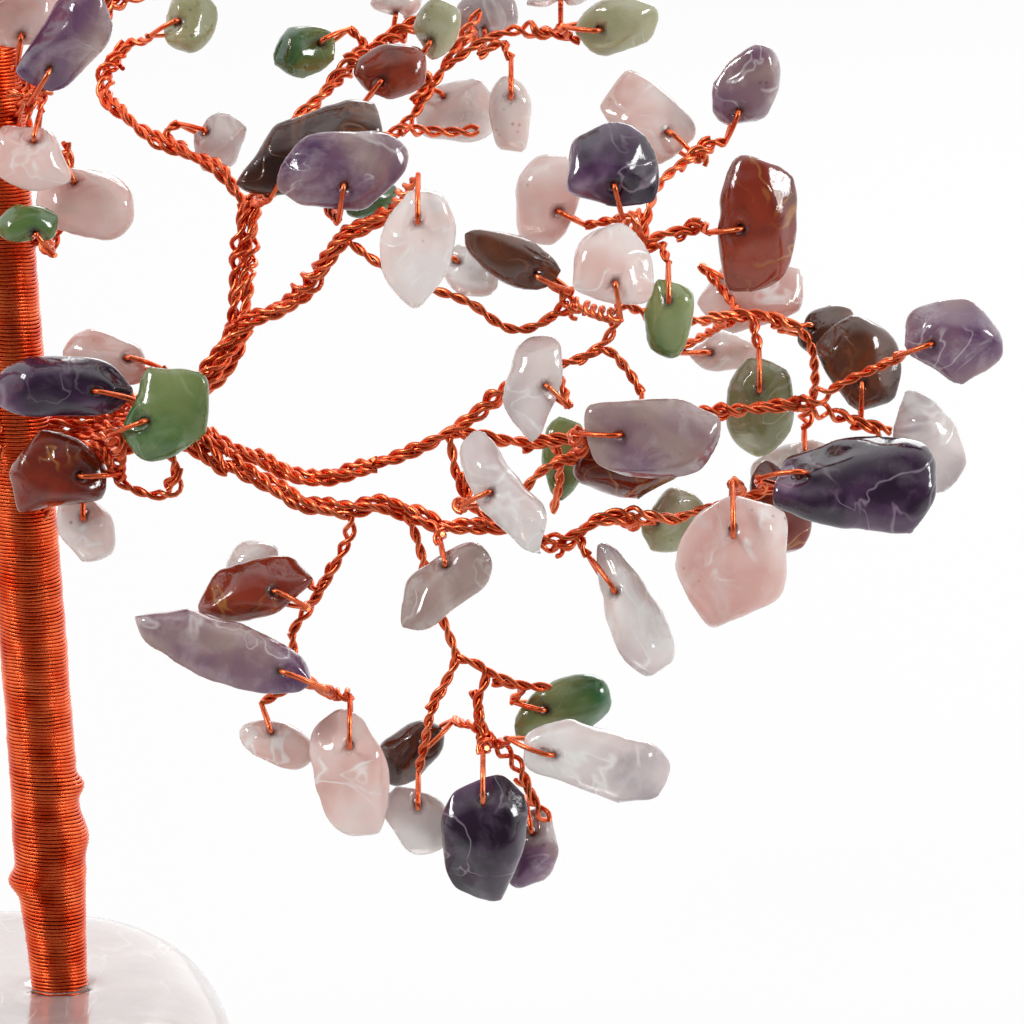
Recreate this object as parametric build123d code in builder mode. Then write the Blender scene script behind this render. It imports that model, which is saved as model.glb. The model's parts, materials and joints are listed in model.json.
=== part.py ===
from build123d import *
import os
from math import cos, pi, radians, sin, sqrt

# Driving sizes, in millimetres and degrees
view_width = 80.0
view_distance = 700.0
view_elevation = 12.0
base_height = 21.0
base_back = 29.5
base_front = 29.0
base_right = 14.2
base_left = 39.0
base_top_round = 6.0
base_bottom_chamfer = 1.5
trunk_height = 78.0
trunk_radius = 2.65
trunk_lean = 3.7
core_radius = 1.4
core_clearance = 0.05
socket_depth = 12.0
glue_thickness = 0.4
winding_wire = 0.8
winding_clearance = 0.05
winding_start = 2.4
winding_rise = 35.0
winding_turns = 7
wire_sides = 3
stem_sides = 4
bundle_sides = 6
wire_radius = 0.38
eye_stand_off = 1.0
hanging_stand_off = 1.6
neck_length = 2.0
hole_width = 0.95
hole_edge = 2.3
cut_overrun = 1.0
least_thickness = 2.6
chip_tilt_step = 7.0
rim_angle = 34.0

# Shares of the piece that each follows
thickness_share = 0.46
hole_reach_share = 0.5
base_outline_shares = (
    (0.3, -0.5), (0.47, -0.3), (0.5, 0.02), (0.455, 0.3), (0.34, 0.47), (-0.05, 0.5),
    (-0.36, 0.4), (-0.5, 0.12), (-0.46, -0.25), (-0.24, -0.46),
)

# The picture's own measures, in its pixels
picture_pixels = 1024
trunk_foot_pixels = (60, 985)
limb_root_pixels = (25, 460)
thick_branch_pixels = 8

pixel = view_width / picture_pixels

# Outlines of tumbled chips, as shares of their length and width
outline_shares = {
    "pebble": ((-0.5, -0.05), (-0.15, -0.5), (0.4, -0.38), (0.5, 0.25), (-0.1, 0.5)),
    "drop": ((-0.5, 0.05), (0.0, -0.5), (0.45, -0.35), (0.5, 0.3), (0.05, 0.5)),
    "slab": ((-0.5, -0.4), (0.3, -0.5), (0.5, 0.05), (0.3, 0.5), (-0.45, 0.4)),
    "wedge": ((-0.5, -0.15), (0.15, -0.5), (0.5, -0.2), (0.42, 0.42), (-0.15, 0.5)),
    "shard": ((-0.5, -0.1), (0.0, -0.5), (0.5, -0.1), (0.25, 0.5), (-0.35, 0.35)),
    "tooth": ((-0.5, -0.5), (0.5, -0.45), (0.35, 0.12), (-0.05, 0.5), (-0.42, 0.12)),
}

# Branch routes: half thickness in pixels, then points as across, down and depth in pixels
lower_branches_pixels = (
    (15, ((28, 540, 0), (60, 474, -30), (120, 444, -78), (170, 434, -115), (230, 464, -145))),
    (11, ((230, 464, -145), (270, 486, -160), (340, 508, -190), (390, 506, -200), (440, 524, -210))),
    (9, ((440, 524, -210), (490, 525, -215), (560, 540, -215), (600, 520, -215), (680, 518, -210))),
    (6, ((680, 518, -210), (740, 500, -205), (775, 488, -205))),
    (6, ((405, 512, -205), (430, 570, -195), (445, 625, -195), (456, 655, -200))),
    (5, ((456, 655, -200), (445, 682, -200), (432, 708, -205))),
    (5, ((456, 655, -200), (484, 668, -200), (478, 704, -200), (486, 738, -205))),
    (5, ((484, 668, -200), (520, 684, -195), (548, 688, -190))),
    (5, ((486, 738, -205), (512, 758, -200), (534, 798, -200), (549, 820, -200))),
    (5, ((352, 524, -190), (320, 590, -180), (292, 632, -180))),
    (5, ((292, 632, -180), (300, 676, -190), (330, 694, -200))),
)
upper_branches_pixels = (
    (13, ((25, 500, 0), (60, 458, 0), (130, 425, -40), (190, 392, -85), (240, 325, -85))),
    (10, ((240, 325, -85), (290, 300, -110), (320, 270, -130), (345, 238, -150), (385, 215, -165))),
    (10, ((130, 425, -40), (190, 428, -68), (250, 458, -105), (310, 478, -145), (375, 465, -180))),
    (8, ((375, 465, -180), (410, 453, -190), (450, 434, -190), (490, 402, -185), (540, 370, -180))),
    (7, ((540, 370, -180), (600, 345, -175), (618, 305, -170), (640, 250, -150), (700, 222, -150))),
    (6, ((640, 250, -150), (650, 200, -120), (690, 158, -70), (712, 142, -55))),
    (8, ((450, 434, -190), (540, 440, -150), (640, 425, -130), (720, 410, -140), (800, 402, -150))),
    (6, ((800, 402, -150), (845, 384, -165), (905, 355, -185))),
    (5, ((800, 402, -150), (850, 418, -145), (890, 434, -140))),
    (5, ((618, 305, -170), (690, 322, -110), (760, 314, -72), (800, 326, -70))),
    (6, ((345, 238, -150), (390, 272, -170), (470, 305, -185), (520, 330, -190), (570, 305, -190))),
    (5, ((570, 305, -190), (562, 292, -190), (548, 282, -190))),
    (5, ((450, 434, -190), (470, 500, -200), (500, 515, -205), (530, 480, -200), (580, 455, -195))),
)
rear_branches_pixels = (
    (14, ((22, 440, 0), (70, 425, 10), (150, 400, -20), (215, 372, -60), (242, 322, -70))),
    (13, ((242, 322, -70), (244, 270, -50), (250, 205, -25))),
    (9, ((250, 205, -25), (215, 165, 10), (165, 143, 50), (110, 105, 100), (102, 84, 130), (125, 45, 160))),
    (9, ((250, 205, -25), (268, 178, -15), (300, 122, 20), (328, 92, 50), (372, 48, 100), (430, 12, 140))),
    (7, ((300, 122, 20), (350, 130, 55), (400, 130, 80), (442, 68, 110), (482, 12, 140))),
    (6, ((442, 68, 110), (520, 30, 112), (580, 40, 90))),
    (6, ((400, 130, 80), (440, 134, 105), (476, 132, 105))),
    (6, ((22, 250, 0), (60, 220, -12), (72, 176, -20), (66, 142, -34))),
    (6, ((15, 130, 0), (30, 92, -60), (58, 82, -80))),
    (6, ((30, 470, -10), (108, 461, -92), (124, 486, -112), (170, 492, -126), (178, 470, -134))),
    (6, ((300, 122, 20), (320, 150, -20), (335, 190, -60))),
)

# Chips: stone, outline, across, down, depth, length, width, turn, side of the eye, hanging or not
lower_chips_pixels = (
    ("red_jasper", "wedge", 248, 592, -200, 124, 60, 20, -20, False),
    ("lilac_amethyst", "drop", 222, 652, -250, 186, 62, -20, -20, False),
    ("rose_quartz", "pebble", 274, 742, -190, 84, 46, -25, 110, False),
    ("rose_quartz", "slab", 350, 770, -225, 122, 76, 92, 90, True),
    ("brown_jasper", "tooth", 405, 752, -130, 78, 56, 60, 40, False),
    ("quartz", "pebble", 418, 815, -190, 80, 60, -60, 90, True),
    ("deep_amethyst", "slab", 483, 832, -232, 130, 82, 85, 90, True),
    ("lilac_amethyst", "shard", 536, 850, -175, 90, 52, 80, 100, False),
    ("aventurine", "pebble", 560, 711, -165, 104, 62, 25, 170, False),
    ("quartz", "wedge", 593, 762, -232, 172, 70, -14, 165, False),
    ("smoky_quartz", "wedge", 444, 590, -264, 118, 58, 40, 100, False),
    ("quartz", "drop", 628, 610, -245, 140, 60, -62, 125, False),
    ("prehnite", "shard", 672, 524, -150, 72, 58, 40, 180, False),
    ("rose_quartz", "pebble", 729, 563, -296, 130, 110, 80, 90, True),
    ("red_jasper", "drop", 778, 503, -160, 116, 60, -75, 170, False),
    ("deep_amethyst", "slab", 858, 479, -240, 162, 96, -8, 180, False),
    ("quartz", "pebble", 252, 562, -150, 62, 48, 10, -10, False),
)
upper_chips_pixels = (
    ("quartz", "shard", 503, 492, -255, 172, 52, -58, 200, False),
    ("quartz", "wedge", 535, 385, -215, 112, 56, 80, -40, False),
    ("aventurine", "pebble", 562, 457, -105, 88, 46, 85, -100, False),
    ("lilac_amethyst", "slab", 654, 432, -235, 126, 84, 5, 180, False),
    ("red_jasper", "pebble", 637, 450, -177, 130, 86, 30, 90, False),
    ("aventurine", "drop", 668, 322, -178, 88, 50, 88, 90, True),
    ("rose_quartz", "tooth", 616, 262, -252, 84, 76, -15, -80, False),
    ("deep_amethyst", "tooth", 613, 160, -200, 96, 82, -10, -75, False),
    ("rose_quartz", "slab", 545, 200, -80, 92, 64, 75, -30, False),
    ("brown_jasper", "drop", 508, 256, -205, 110, 52, -28, -30, False),
    ("rose_quartz", "drop", 417, 252, -235, 116, 74, 82, 90, True),
    ("quartz", "shard", 470, 272, -165, 62, 50, -30, 150, False),
    ("rose_quartz", "pebble", 745, 292, -30, 108, 72, 10, 150, False),
    ("red_jasper", "slab", 760, 221, -165, 134, 76, 88, -170, False),
    ("prehnite", "pebble", 757, 412, -90, 100, 68, 85, 90, True),
    ("brown_jasper", "pebble", 824, 330, -45, 68, 52, 20, 180, False),
    ("brown_jasper", "slab", 862, 362, -102, 98, 76, -50, -90, False),
    ("lilac_amethyst", "pebble", 951, 333, -205, 96, 82, -40, 200, False),
    ("quartz", "drop", 923, 441, -140, 120, 76, -65, 180, False),
    ("lilac_amethyst", "pebble", 744, 88, -50, 90, 68, 60, -110, False),
    ("rose_quartz", "slab", 650, 122, -30, 94, 66, -40, -40, False),
    ("quartz", "pebble", 800, 470, -48, 130, 62, 8, 90, False),
    ("rose_quartz", "pebble", 728, 352, 10, 80, 44, 0, 180, False),
)
rear_chips_pixels = (
    ("rose_quartz", "wedge", 103, 358, -40, 90, 50, -25, -10, False),
    ("deep_amethyst", "slab", 66, 388, -125, 134, 62, 2, -10, False),
    ("aventurine", "shard", 170, 414, -155, 102, 82, 60, 200, False),
    ("red_jasper", "tooth", 56, 466, -120, 94, 76, 15, 0, False),
    ("rose_quartz", "drop", 82, 524, -75, 76, 56, -65, 90, True),
    ("rose_quartz", "slab", 86, 204, -60, 94, 68, -12, 118, False),
    ("rose_quartz", "pebble", 30, 158, -110, 88, 66, -40, 80, False),
    ("aventurine", "pebble", 26, 224, -105, 66, 42, 5, -50, False),
    ("rose_quartz", "pebble", 22, 18, -60, 84, 58, 15, -100, False),
    ("lilac_amethyst", "slab", 66, 40, -120, 116, 62, 52, -120, False),
    ("brown_jasper", "pebble", 312, 145, -60, 156, 70, 25, -130, False),
    ("lilac_amethyst", "wedge", 341, 172, -115, 132, 80, 10, -100, False),
    ("aventurine", "shard", 372, 196, -60, 60, 44, 30, 200, False),
    ("rose_quartz", "slab", 511, 112, 100, 76, 42, 88, 90, True),
    ("prehnite", "pebble", 618, 26, 70, 94, 58, 10, 180, False),
    ("prehnite", "slab", 192, 20, 130, 66, 54, 80, 200, False),
    ("aventurine", "pebble", 305, 52, 90, 70, 58, 20, 30, False),
    ("red_jasper", "drop", 385, 72, 50, 74, 54, 10, -130, False),
    ("prehnite", "pebble", 436, 30, 90, 62, 48, 75, -120, False),
    ("quartz", "pebble", 482, 14, 170, 76, 50, 15, -90, False),
    ("rose_quartz", "wedge", 455, 112, 150, 92, 70, 20, 150, False),
    ("quartz", "pebble", 218, 140, 60, 66, 54, 60, 160, False),
    ("quartz", "slab", 562, -8, 130, 76, 40, 5, -90, False),
    ("rose_quartz", "pebble", 396, 2, 150, 56, 40, 10, -100, False),
)

# Limbs: shape, azimuth, pitch, rise as a share of the trunk above the first, mirrored, first chip, step
limbs = {
    "right_lower": ("lower", 0, 0, 0, False, 0, 1),
    "right_upper": ("upper", 0, 0, 0, False, 0, 1),
    "right_rear": ("rear", 0, 0, 0, False, 0, 1),
    "left_lower": ("lower", 186, 2, 0.064, False, 0, 2),
    "left_upper": ("upper", 196, 4, 0.19, True, 0, 2),
    "back_upper": ("upper", 104, 10, 0.276, True, 1, 2),
    "front_lower": ("lower", 252, 6, 0.16, False, 1, 2),
    "crown_right": ("upper", 34, 36, 0.7, False, 0, 2),
    "crown_left": ("upper", 218, 40, 0.765, True, 1, 2),
    "crown_top": ("top", 286, 34, 0.87, False, 0, 1),
}
shapes = {
    "lower": (lower_branches_pixels, lower_chips_pixels),
    "upper": (upper_branches_pixels, upper_chips_pixels),
    "rear": (rear_branches_pixels, rear_chips_pixels),
    "top": (rear_branches_pixels[:7], rear_chips_pixels[10:22]),
}

# The photographed view: right, up and forward
view_right = Vector(1, 0, 0)
view_up = Vector(0, sin(radians(view_elevation)), cos(radians(view_elevation)))
view_forward = Vector(0, cos(radians(view_elevation)), -sin(radians(view_elevation)))
middle_pixel = picture_pixels / 2
foot_across = (trunk_foot_pixels[0] - middle_pixel) * pixel
foot_up = (middle_pixel - trunk_foot_pixels[1]) * pixel
view_middle = Vector(0, 0, base_height) - view_right * foot_across - view_up * foot_up

trunk_foot = Vector(0, 0, base_height)
trunk_way = Vector(-sin(radians(trunk_lean)), 0, cos(radians(trunk_lean)))
trunk_across = Vector(cos(radians(trunk_lean)), 0, sin(radians(trunk_lean)))
trunk_plane = Plane(origin=trunk_foot, x_dir=trunk_across, z_dir=trunk_way)


def seen(across, down, depth):
    """The point that the picture shows at a pixel, at a depth behind the trunk's own upright plane."""
    sideways = (across - middle_pixel) * pixel
    upwards = (middle_pixel - down) * pixel
    behind = depth * pixel - view_middle.Y - upwards * view_up.Y
    forward = behind / (view_forward.Y + upwards * view_up.Y / view_distance)
    spread = 1 + forward / view_distance
    return view_middle + (view_right * sideways + view_up * upwards) * spread + view_forward * forward


trunk_top = trunk_foot + trunk_way * trunk_height


def trunk_at(height):
    """The point of the trunk's axis at a height."""
    return trunk_foot + trunk_way * ((height - base_height) / cos(radians(trunk_lean)))


class Growth:
    """Where a limb stands: the photographed limb turned about the trunk, pitched up and raised."""

    def __init__(self, azimuth, pitch, rise, mirrored):
        self.azimuth = azimuth
        self.pitch = pitch
        self.side = -1 if mirrored else 1
        root_height = seen(*limb_root_pixels, 0).Z
        self.pivot = trunk_at(root_height)
        self.root = self.pivot + (trunk_top - self.pivot) * rise

    def way(self, vector):
        """A direction of the photographed limb, turned to this one."""
        flipped = Vector(vector.X, vector.Y * self.side, vector.Z)
        return flipped.rotate(Axis.Y, -self.pitch).rotate(Axis.Z, self.azimuth)

    def point(self, across, down, depth):
        """A point of the photographed limb, moved to this one."""
        return self.root + self.way(seen(across, down, depth) - self.pivot)

    def plane(self, centre, tilt):
        """The plane of a chip that faces the photographed view, nodding by the tilt."""
        facing = self.way(view_forward) * -self.side
        return Plane(origin=centre, x_dir=self.way(view_right), z_dir=facing).rotated((tilt * self.side, 0, 0))

    def hanging_plane(self, centre):
        """The upright plane of a chip that hangs freely."""
        facing = self.way(view_forward) * -self.side
        facing = Vector(facing.X, facing.Y, 0).normalized()
        return Plane(origin=centre, x_dir=Vector(0, 0, 1).cross(facing), z_dir=facing)


def bent_bar(points, radius, sides):
    """A bar of flat-sided section bent sharply along the points."""
    with BuildPart() as bar:
        with BuildLine() as route:
            Polyline(*points)
        with BuildSketch(Plane(origin=points[0], z_dir=points[1] - points[0])):
            RegularPolygon(radius, sides)
        sweep(path=route.line, transition=Transition.RIGHT)
    return bar.part


def branch_side(target, branches):
    """The nearest place on the side of a branch, past the first run of the first one."""
    best = None
    for index, (half, route) in enumerate(branches):
        for start, end in list(zip(route, route[1:]))[1 if index == 0 else 0:]:
            run = end - start
            share = max(0, min(1, (target - start).dot(run) / run.dot(run)))
            place = start + run * share
            if best is None or (target - place).length - half < best[0]:
                best = ((target - place).length - half, place + (target - place).normalized() * half)
    return best[1]


def rim_distance(outline, start, way):
    """How far the outline's rim lies from a point inside it, along a direction."""
    nearest = None
    for first, second in zip(outline, outline[1:] + outline[:1]):
        edge = second - first
        cross = way.X * edge.Y - way.Y * edge.X
        if cross == 0:
            continue
        gap = first - start
        along = (gap.X * edge.Y - gap.Y * edge.X) / cross
        side = (gap.X * way.Y - gap.Y * way.X) / cross
        if along > 0 and 0 <= side <= 1 and (nearest is None or along < nearest):
            nearest = along
    return nearest


def tumbled_chip(outline, thickness, way):
    """A chip in its own frame, drilled on the side where its wire comes from, and the hole's place."""
    with BuildPart() as chip:
        with BuildSketch():
            Polygon(*[(point.X, point.Y) for point in outline], align=None)
        extrude(amount=thickness / 2, taper=rim_angle)
        mirror(about=Plane.XY)
        middle = chip.part.center(CenterOf.MASS)
        rim = rim_distance(outline, middle, way)
        place = middle + way * max(rim * hole_reach_share, rim - hole_edge)
        with BuildSketch():
            with Locations(place):
                Rectangle(hole_width, hole_width)
        extrude(amount=thickness, both=True, mode=Mode.SUBTRACT)
    return chip.part, place, rim


def wire_eye(plane, place, neck, stand, branches):
    """The wire from the branch: it bends at the neck, passes through the hole and comes back to the neck."""
    front = plane.from_local_coords(Vector(place.X, place.Y, stand))
    back = plane.from_local_coords(Vector(place.X, place.Y, -stand))
    bend = plane.from_local_coords(neck)
    start = branch_side(bend, branches)
    if (start - front).length < (start - back).length:
        front, back = back, front
    closing = bend + (back - bend).normalized() * (2 * wire_radius)
    return bent_bar([start, bend, front, back, closing], wire_radius, wire_sides)


def make_chip(growth, index, stone_chip, branches):
    """One drilled chip, with its wire eye and the twisted pair that leads to the branch."""
    outline_name, across, down, depth, length, width, turn, eye, hanging = stone_chip[1:]
    centre = growth.point(across, down, depth)
    if hanging:
        plane = growth.hanging_plane(centre)
    else:
        plane = growth.plane(centre, chip_tilt_step * (index % 5 - 2))
    size = Vector(length * pixel, width * pixel)
    outline = [Vector(x * size.X, y * size.Y).rotate(Axis.Z, turn) for x, y in outline_shares[outline_name]]
    thickness = max(least_thickness, size.Y * thickness_share)
    way = Vector(0, 1) if hanging else Vector(cos(radians(eye)), sin(radians(eye)))
    chip, place, rim = tumbled_chip(outline, thickness, way)
    middle = chip.center(CenterOf.MASS)
    neck = Vector(middle.X, middle.Y) + way * (rim + neck_length)
    stand = thickness / 2 + (hanging_stand_off if hanging else eye_stand_off)
    wire = wire_eye(plane, place, neck, stand, branches)
    chip = chip.moved(plane.location)
    return chip, wire, plane.from_local_coords(place), plane.z_dir


def grow(name, earlier, shape, azimuth, pitch, rise, mirrored, first, step):
    """One limb: the bundle with its branches, the twigs with their eyes, and the chips."""
    branches_pixels, chips_pixels = shapes[shape]
    growth = Growth(azimuth, pitch, rise, mirrored)
    branches = [(half * pixel, [growth.point(*spot) for spot in spots]) for half, spots in branches_pixels]
    bars = []
    for half, route in branches:
        bars.append(bent_bar(route, half, stem_sides if half > thick_branch_pixels * pixel else wire_sides))
    with BuildPart() as limb:
        add(bars)
        add([trunk_room.part] + earlier, mode=Mode.SUBTRACT)
    twig_bars = []
    for index, stone_chip in enumerate(chips_pixels):
        if index % step != first % step:
            continue
        chip, wire, hole, facing = make_chip(growth, index, stone_chip, branches)
        twig_bars.append(wire)
        stones.append((stone_chip[0], name, stone_chip[-1], chip, hole, facing))
    with BuildPart() as twigs:
        add(twig_bars)
    return limb.part, twigs.part


# Base of rose quartz: a rounded slab with a drilled socket that leans with the trunk
wound_radius = trunk_radius - winding_wire - winding_clearance
base_length = base_back + base_front
base_breadth = base_right + base_left
with BuildPart() as base_stone:
    with BuildSketch():
        with Locations(((base_right - base_left) / 2, (base_back - base_front) / 2)):
            Polygon(*[(x * base_breadth, y * base_length) for x, y in base_outline_shares], align=None)
    extrude(amount=base_height)
    fillet(base_stone.faces().sort_by(Axis.Z)[-1].edges(), radius=base_top_round)
    chamfer(base_stone.faces().sort_by(Axis.Z)[0].edges(), length=base_bottom_chamfer)
    with BuildSketch(trunk_plane.offset(-socket_depth)):
        Circle(wound_radius + glue_thickness)
    extrude(amount=socket_depth + cut_overrun, mode=Mode.SUBTRACT)

# Trunk: the bundle of stem wires, and the sleeve of fine wire wound closely round it
core_foot = glue_thickness - socket_depth
with BuildPart() as trunk_core:
    with BuildSketch(trunk_plane.offset(core_foot)):
        RegularPolygon(core_radius, bundle_sides)
    extrude(amount=trunk_height - core_foot)

winding_end = winding_start + winding_rise + winding_wire
sleeve_bore = core_radius + core_clearance
with BuildPart() as trunk_wrap:
    with BuildSketch(Plane(origin=trunk_foot, x_dir=trunk_plane.x_dir, z_dir=(0, -1, 0))):
        with BuildLine():
            Polyline((sleeve_bore, core_foot), (wound_radius, core_foot), (wound_radius, winding_end),
                     (trunk_radius, winding_end), (trunk_radius, trunk_height),
                     (sleeve_bore, trunk_height), close=True)
        make_face()
    revolve(axis=Axis(trunk_foot, trunk_way))

# The space that the wound trunk takes up, which the limbs start from
with BuildPart() as trunk_room:
    with BuildSketch(trunk_plane.offset(core_foot)):
        Circle(trunk_radius)
    extrude(amount=trunk_height - core_foot)

# Glue that fills the socket round the trunk
with BuildPart() as socket_glue:
    with BuildSketch(trunk_plane.offset(-socket_depth)):
        Circle(wound_radius + glue_thickness)
    extrude(amount=socket_depth)
    with BuildSketch(trunk_plane.offset(core_foot)):
        Circle(wound_radius)
    extrude(amount=socket_depth, mode=Mode.SUBTRACT)

# The visible winding of the stem: one wire, each quarter turn a pair of arcs that leave it smoothly
pitch = winding_rise / winding_turns
wire_line_radius = wound_radius + winding_clearance + winding_wire / 2


def winding_spot(quarters):
    """The place on the winding's middle line after so many quarter turns."""
    angle = quarters * pi / 2
    return Vector(wire_line_radius * cos(angle), wire_line_radius * sin(angle), winding_start + pitch * quarters / 4)


def winding_way(quarters):
    """The direction of the winding's middle line there."""
    angle = quarters * pi / 2
    climb = pitch / (2 * pi)
    return Vector(-wire_line_radius * sin(angle), wire_line_radius * cos(angle), climb).normalized()


def in_trunk(place):
    """A place given along the trunk's own axes."""
    return trunk_plane.from_local_coords(place)


def along_trunk(way):
    """A direction given along the trunk's own axes."""
    return in_trunk(way) - in_trunk(Vector())


def quarter_arcs(quarter):
    """The two arcs of one quarter turn."""
    first, last = winding_spot(quarter), winding_spot(quarter + 1)
    first_way, last_way = winding_way(quarter), winding_way(quarter + 1)
    chord = last - first
    ways = first_way + last_way
    lead = 4 - ways.dot(ways)
    across = chord.dot(ways)
    reach = (sqrt(across ** 2 + lead * chord.dot(chord)) - across) / lead
    meeting = (first + last) / 2 + (first_way - last_way) * (reach / 2)
    TangentArc(in_trunk(first), in_trunk(meeting), tangent=along_trunk(first_way))
    TangentArc(in_trunk(meeting), in_trunk(last), tangent=along_trunk(-last_way), tangent_from_first=False)


quarters = 4 * winding_turns
with BuildPart() as trunk_winding:
    with BuildLine() as winding_line:
        lead_in = in_trunk(winding_spot(0) - winding_way(0) * winding_wire)
        Line(lead_in, in_trunk(winding_spot(0)))
        for quarter in range(quarters):
            quarter_arcs(quarter)
        lead_out = in_trunk(winding_spot(quarters) + winding_way(quarters) * winding_wire)
        Line(in_trunk(winding_spot(quarters)), lead_out)
    with BuildSketch(Plane(origin=lead_in, z_dir=along_trunk(winding_way(0)))):
        RegularPolygon(winding_wire / 2, 4)
    sweep(path=winding_line.line, clean=False)

samples = [winding_spot(step / 4) for step in range(4 * quarters + 1)]
least_gap = min((far - near).length for at, near in enumerate(samples) for far in samples[at + 8:]) - winding_wire
print("winding turns", winding_turns, "least gap", round(least_gap, 2))

# Limbs and twigs, and the chips that they carry
stones = []
pieces = {
    "base_stone": base_stone.part,
    "socket_glue": socket_glue.part,
    "trunk_core": trunk_core.part,
    "trunk_wrap": trunk_wrap.part,
    "trunk_winding": trunk_winding.part,
}
grown = []
for name, growth_values in limbs.items():
    limb, twigs = grow(name, grown, *growth_values)
    grown.append(limb)
    pieces["limb_" + name] = limb
    pieces["twigs_" + name] = twigs

# Fixed chips are grouped by stone, and each chip that hangs freely is a piece of its own
fixed = {}
hinges = {}
for stone, limb_name, hanging, chip, hole, facing in stones:
    if hanging:
        number = 1 + sum(1 for name in hinges if name.endswith(limb_name, 0, -2))
        name = f"hanging_{stone}_{limb_name}_{number}"
        pieces[name] = chip
        hinges[name] = (hole, facing)
    else:
        fixed.setdefault(stone + "_chips", []).extend(chip.solids())
for name, solids in fixed.items():
    pieces[name] = Compound(children=solids)

os.makedirs("parts", exist_ok=True)
for name, piece in pieces.items():
    piece.label = name
    export_step(piece, f"parts/{name}.step")
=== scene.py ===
import json
import random
from functools import cache, partialmethod
from math import cos, pi, radians, sin, tan

import bmesh
import bpy
import numpy as np
from bpy.props import FloatProperty, FloatVectorProperty, IntProperty, PointerProperty
from mathutils import Matrix, Vector, noise


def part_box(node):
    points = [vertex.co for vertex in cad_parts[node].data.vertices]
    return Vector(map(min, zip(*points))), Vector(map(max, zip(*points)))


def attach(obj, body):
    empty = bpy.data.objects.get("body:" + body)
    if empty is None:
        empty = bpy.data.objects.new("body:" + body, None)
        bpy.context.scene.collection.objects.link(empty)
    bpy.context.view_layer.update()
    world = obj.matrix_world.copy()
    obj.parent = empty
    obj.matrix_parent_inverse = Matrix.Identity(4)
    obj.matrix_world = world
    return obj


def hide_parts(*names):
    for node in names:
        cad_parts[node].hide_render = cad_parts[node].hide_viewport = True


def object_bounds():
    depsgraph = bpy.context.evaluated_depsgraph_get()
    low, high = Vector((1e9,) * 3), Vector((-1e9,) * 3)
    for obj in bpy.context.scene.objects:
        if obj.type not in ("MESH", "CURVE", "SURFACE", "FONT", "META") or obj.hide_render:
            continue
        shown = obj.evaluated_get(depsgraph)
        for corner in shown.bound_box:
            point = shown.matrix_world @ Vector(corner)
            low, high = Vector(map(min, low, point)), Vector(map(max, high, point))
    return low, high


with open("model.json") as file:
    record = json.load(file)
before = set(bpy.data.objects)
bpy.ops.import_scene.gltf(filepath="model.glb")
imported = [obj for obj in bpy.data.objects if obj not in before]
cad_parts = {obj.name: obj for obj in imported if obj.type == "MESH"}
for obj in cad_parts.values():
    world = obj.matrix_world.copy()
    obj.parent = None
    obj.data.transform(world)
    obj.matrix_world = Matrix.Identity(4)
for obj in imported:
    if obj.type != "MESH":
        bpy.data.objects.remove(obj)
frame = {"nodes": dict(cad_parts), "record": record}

bl_info = {
    "name": "Gemstone Tree",
    "version": (1, 0, 0),
    "blender": (4, 5, 0),
    "location": "View3D > Sidebar > Gemstone Tree",
    "description": "Dresses a wire tree that carries drilled, tumbled stone chips",
    "category": "Object",
}

cad_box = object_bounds()
MM = 0.001
TREE = "tree"

# The photographed view, in millimetres and degrees
VIEW_WIDTH = 80.0
VIEW_DISTANCE = 700.0
VIEW_ELEVATION = 12.0
PICTURE_PIXELS = 1024
PIXEL = VIEW_WIDTH / PICTURE_PIXELS

# The tree's own sizes in millimetres and degrees, as in the part
BASE_HEIGHT = 21.0
TRUNK_HEIGHT = 78.0
TRUNK_RADIUS = 2.65
TRUNK_LEAN = 3.7
NECK_LENGTH = 2.0
LEAST_THICKNESS = 2.6
THICKNESS_SHARE = 0.46
CHIP_TILT_STEP = 7.0
HOLE_REACH_SHARE = 0.5
HOLE_EDGE = 2.3
trunk_foot_pixels = (60, 985)
limb_root_pixels = (25, 460)

# A branch that starts this far from the one that it leaves is led back to it, in millimetres
LEAST_ROOT = 0.3
MOST_ROOT = 3.0

# Outlines of tumbled chips, as shares of their length and width
outline_shares = {
    "pebble": ((-0.5, -0.05), (-0.15, -0.5), (0.4, -0.38), (0.5, 0.25), (-0.1, 0.5)),
    "drop": ((-0.5, 0.05), (0.0, -0.5), (0.45, -0.35), (0.5, 0.3), (0.05, 0.5)),
    "slab": ((-0.5, -0.4), (0.3, -0.5), (0.5, 0.05), (0.3, 0.5), (-0.45, 0.4)),
    "wedge": ((-0.5, -0.15), (0.15, -0.5), (0.5, -0.2), (0.42, 0.42), (-0.15, 0.5)),
    "shard": ((-0.5, -0.1), (0.0, -0.5), (0.5, -0.1), (0.25, 0.5), (-0.35, 0.35)),
    "tooth": ((-0.5, -0.5), (0.5, -0.45), (0.35, 0.12), (-0.05, 0.5), (-0.42, 0.12)),
}

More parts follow.
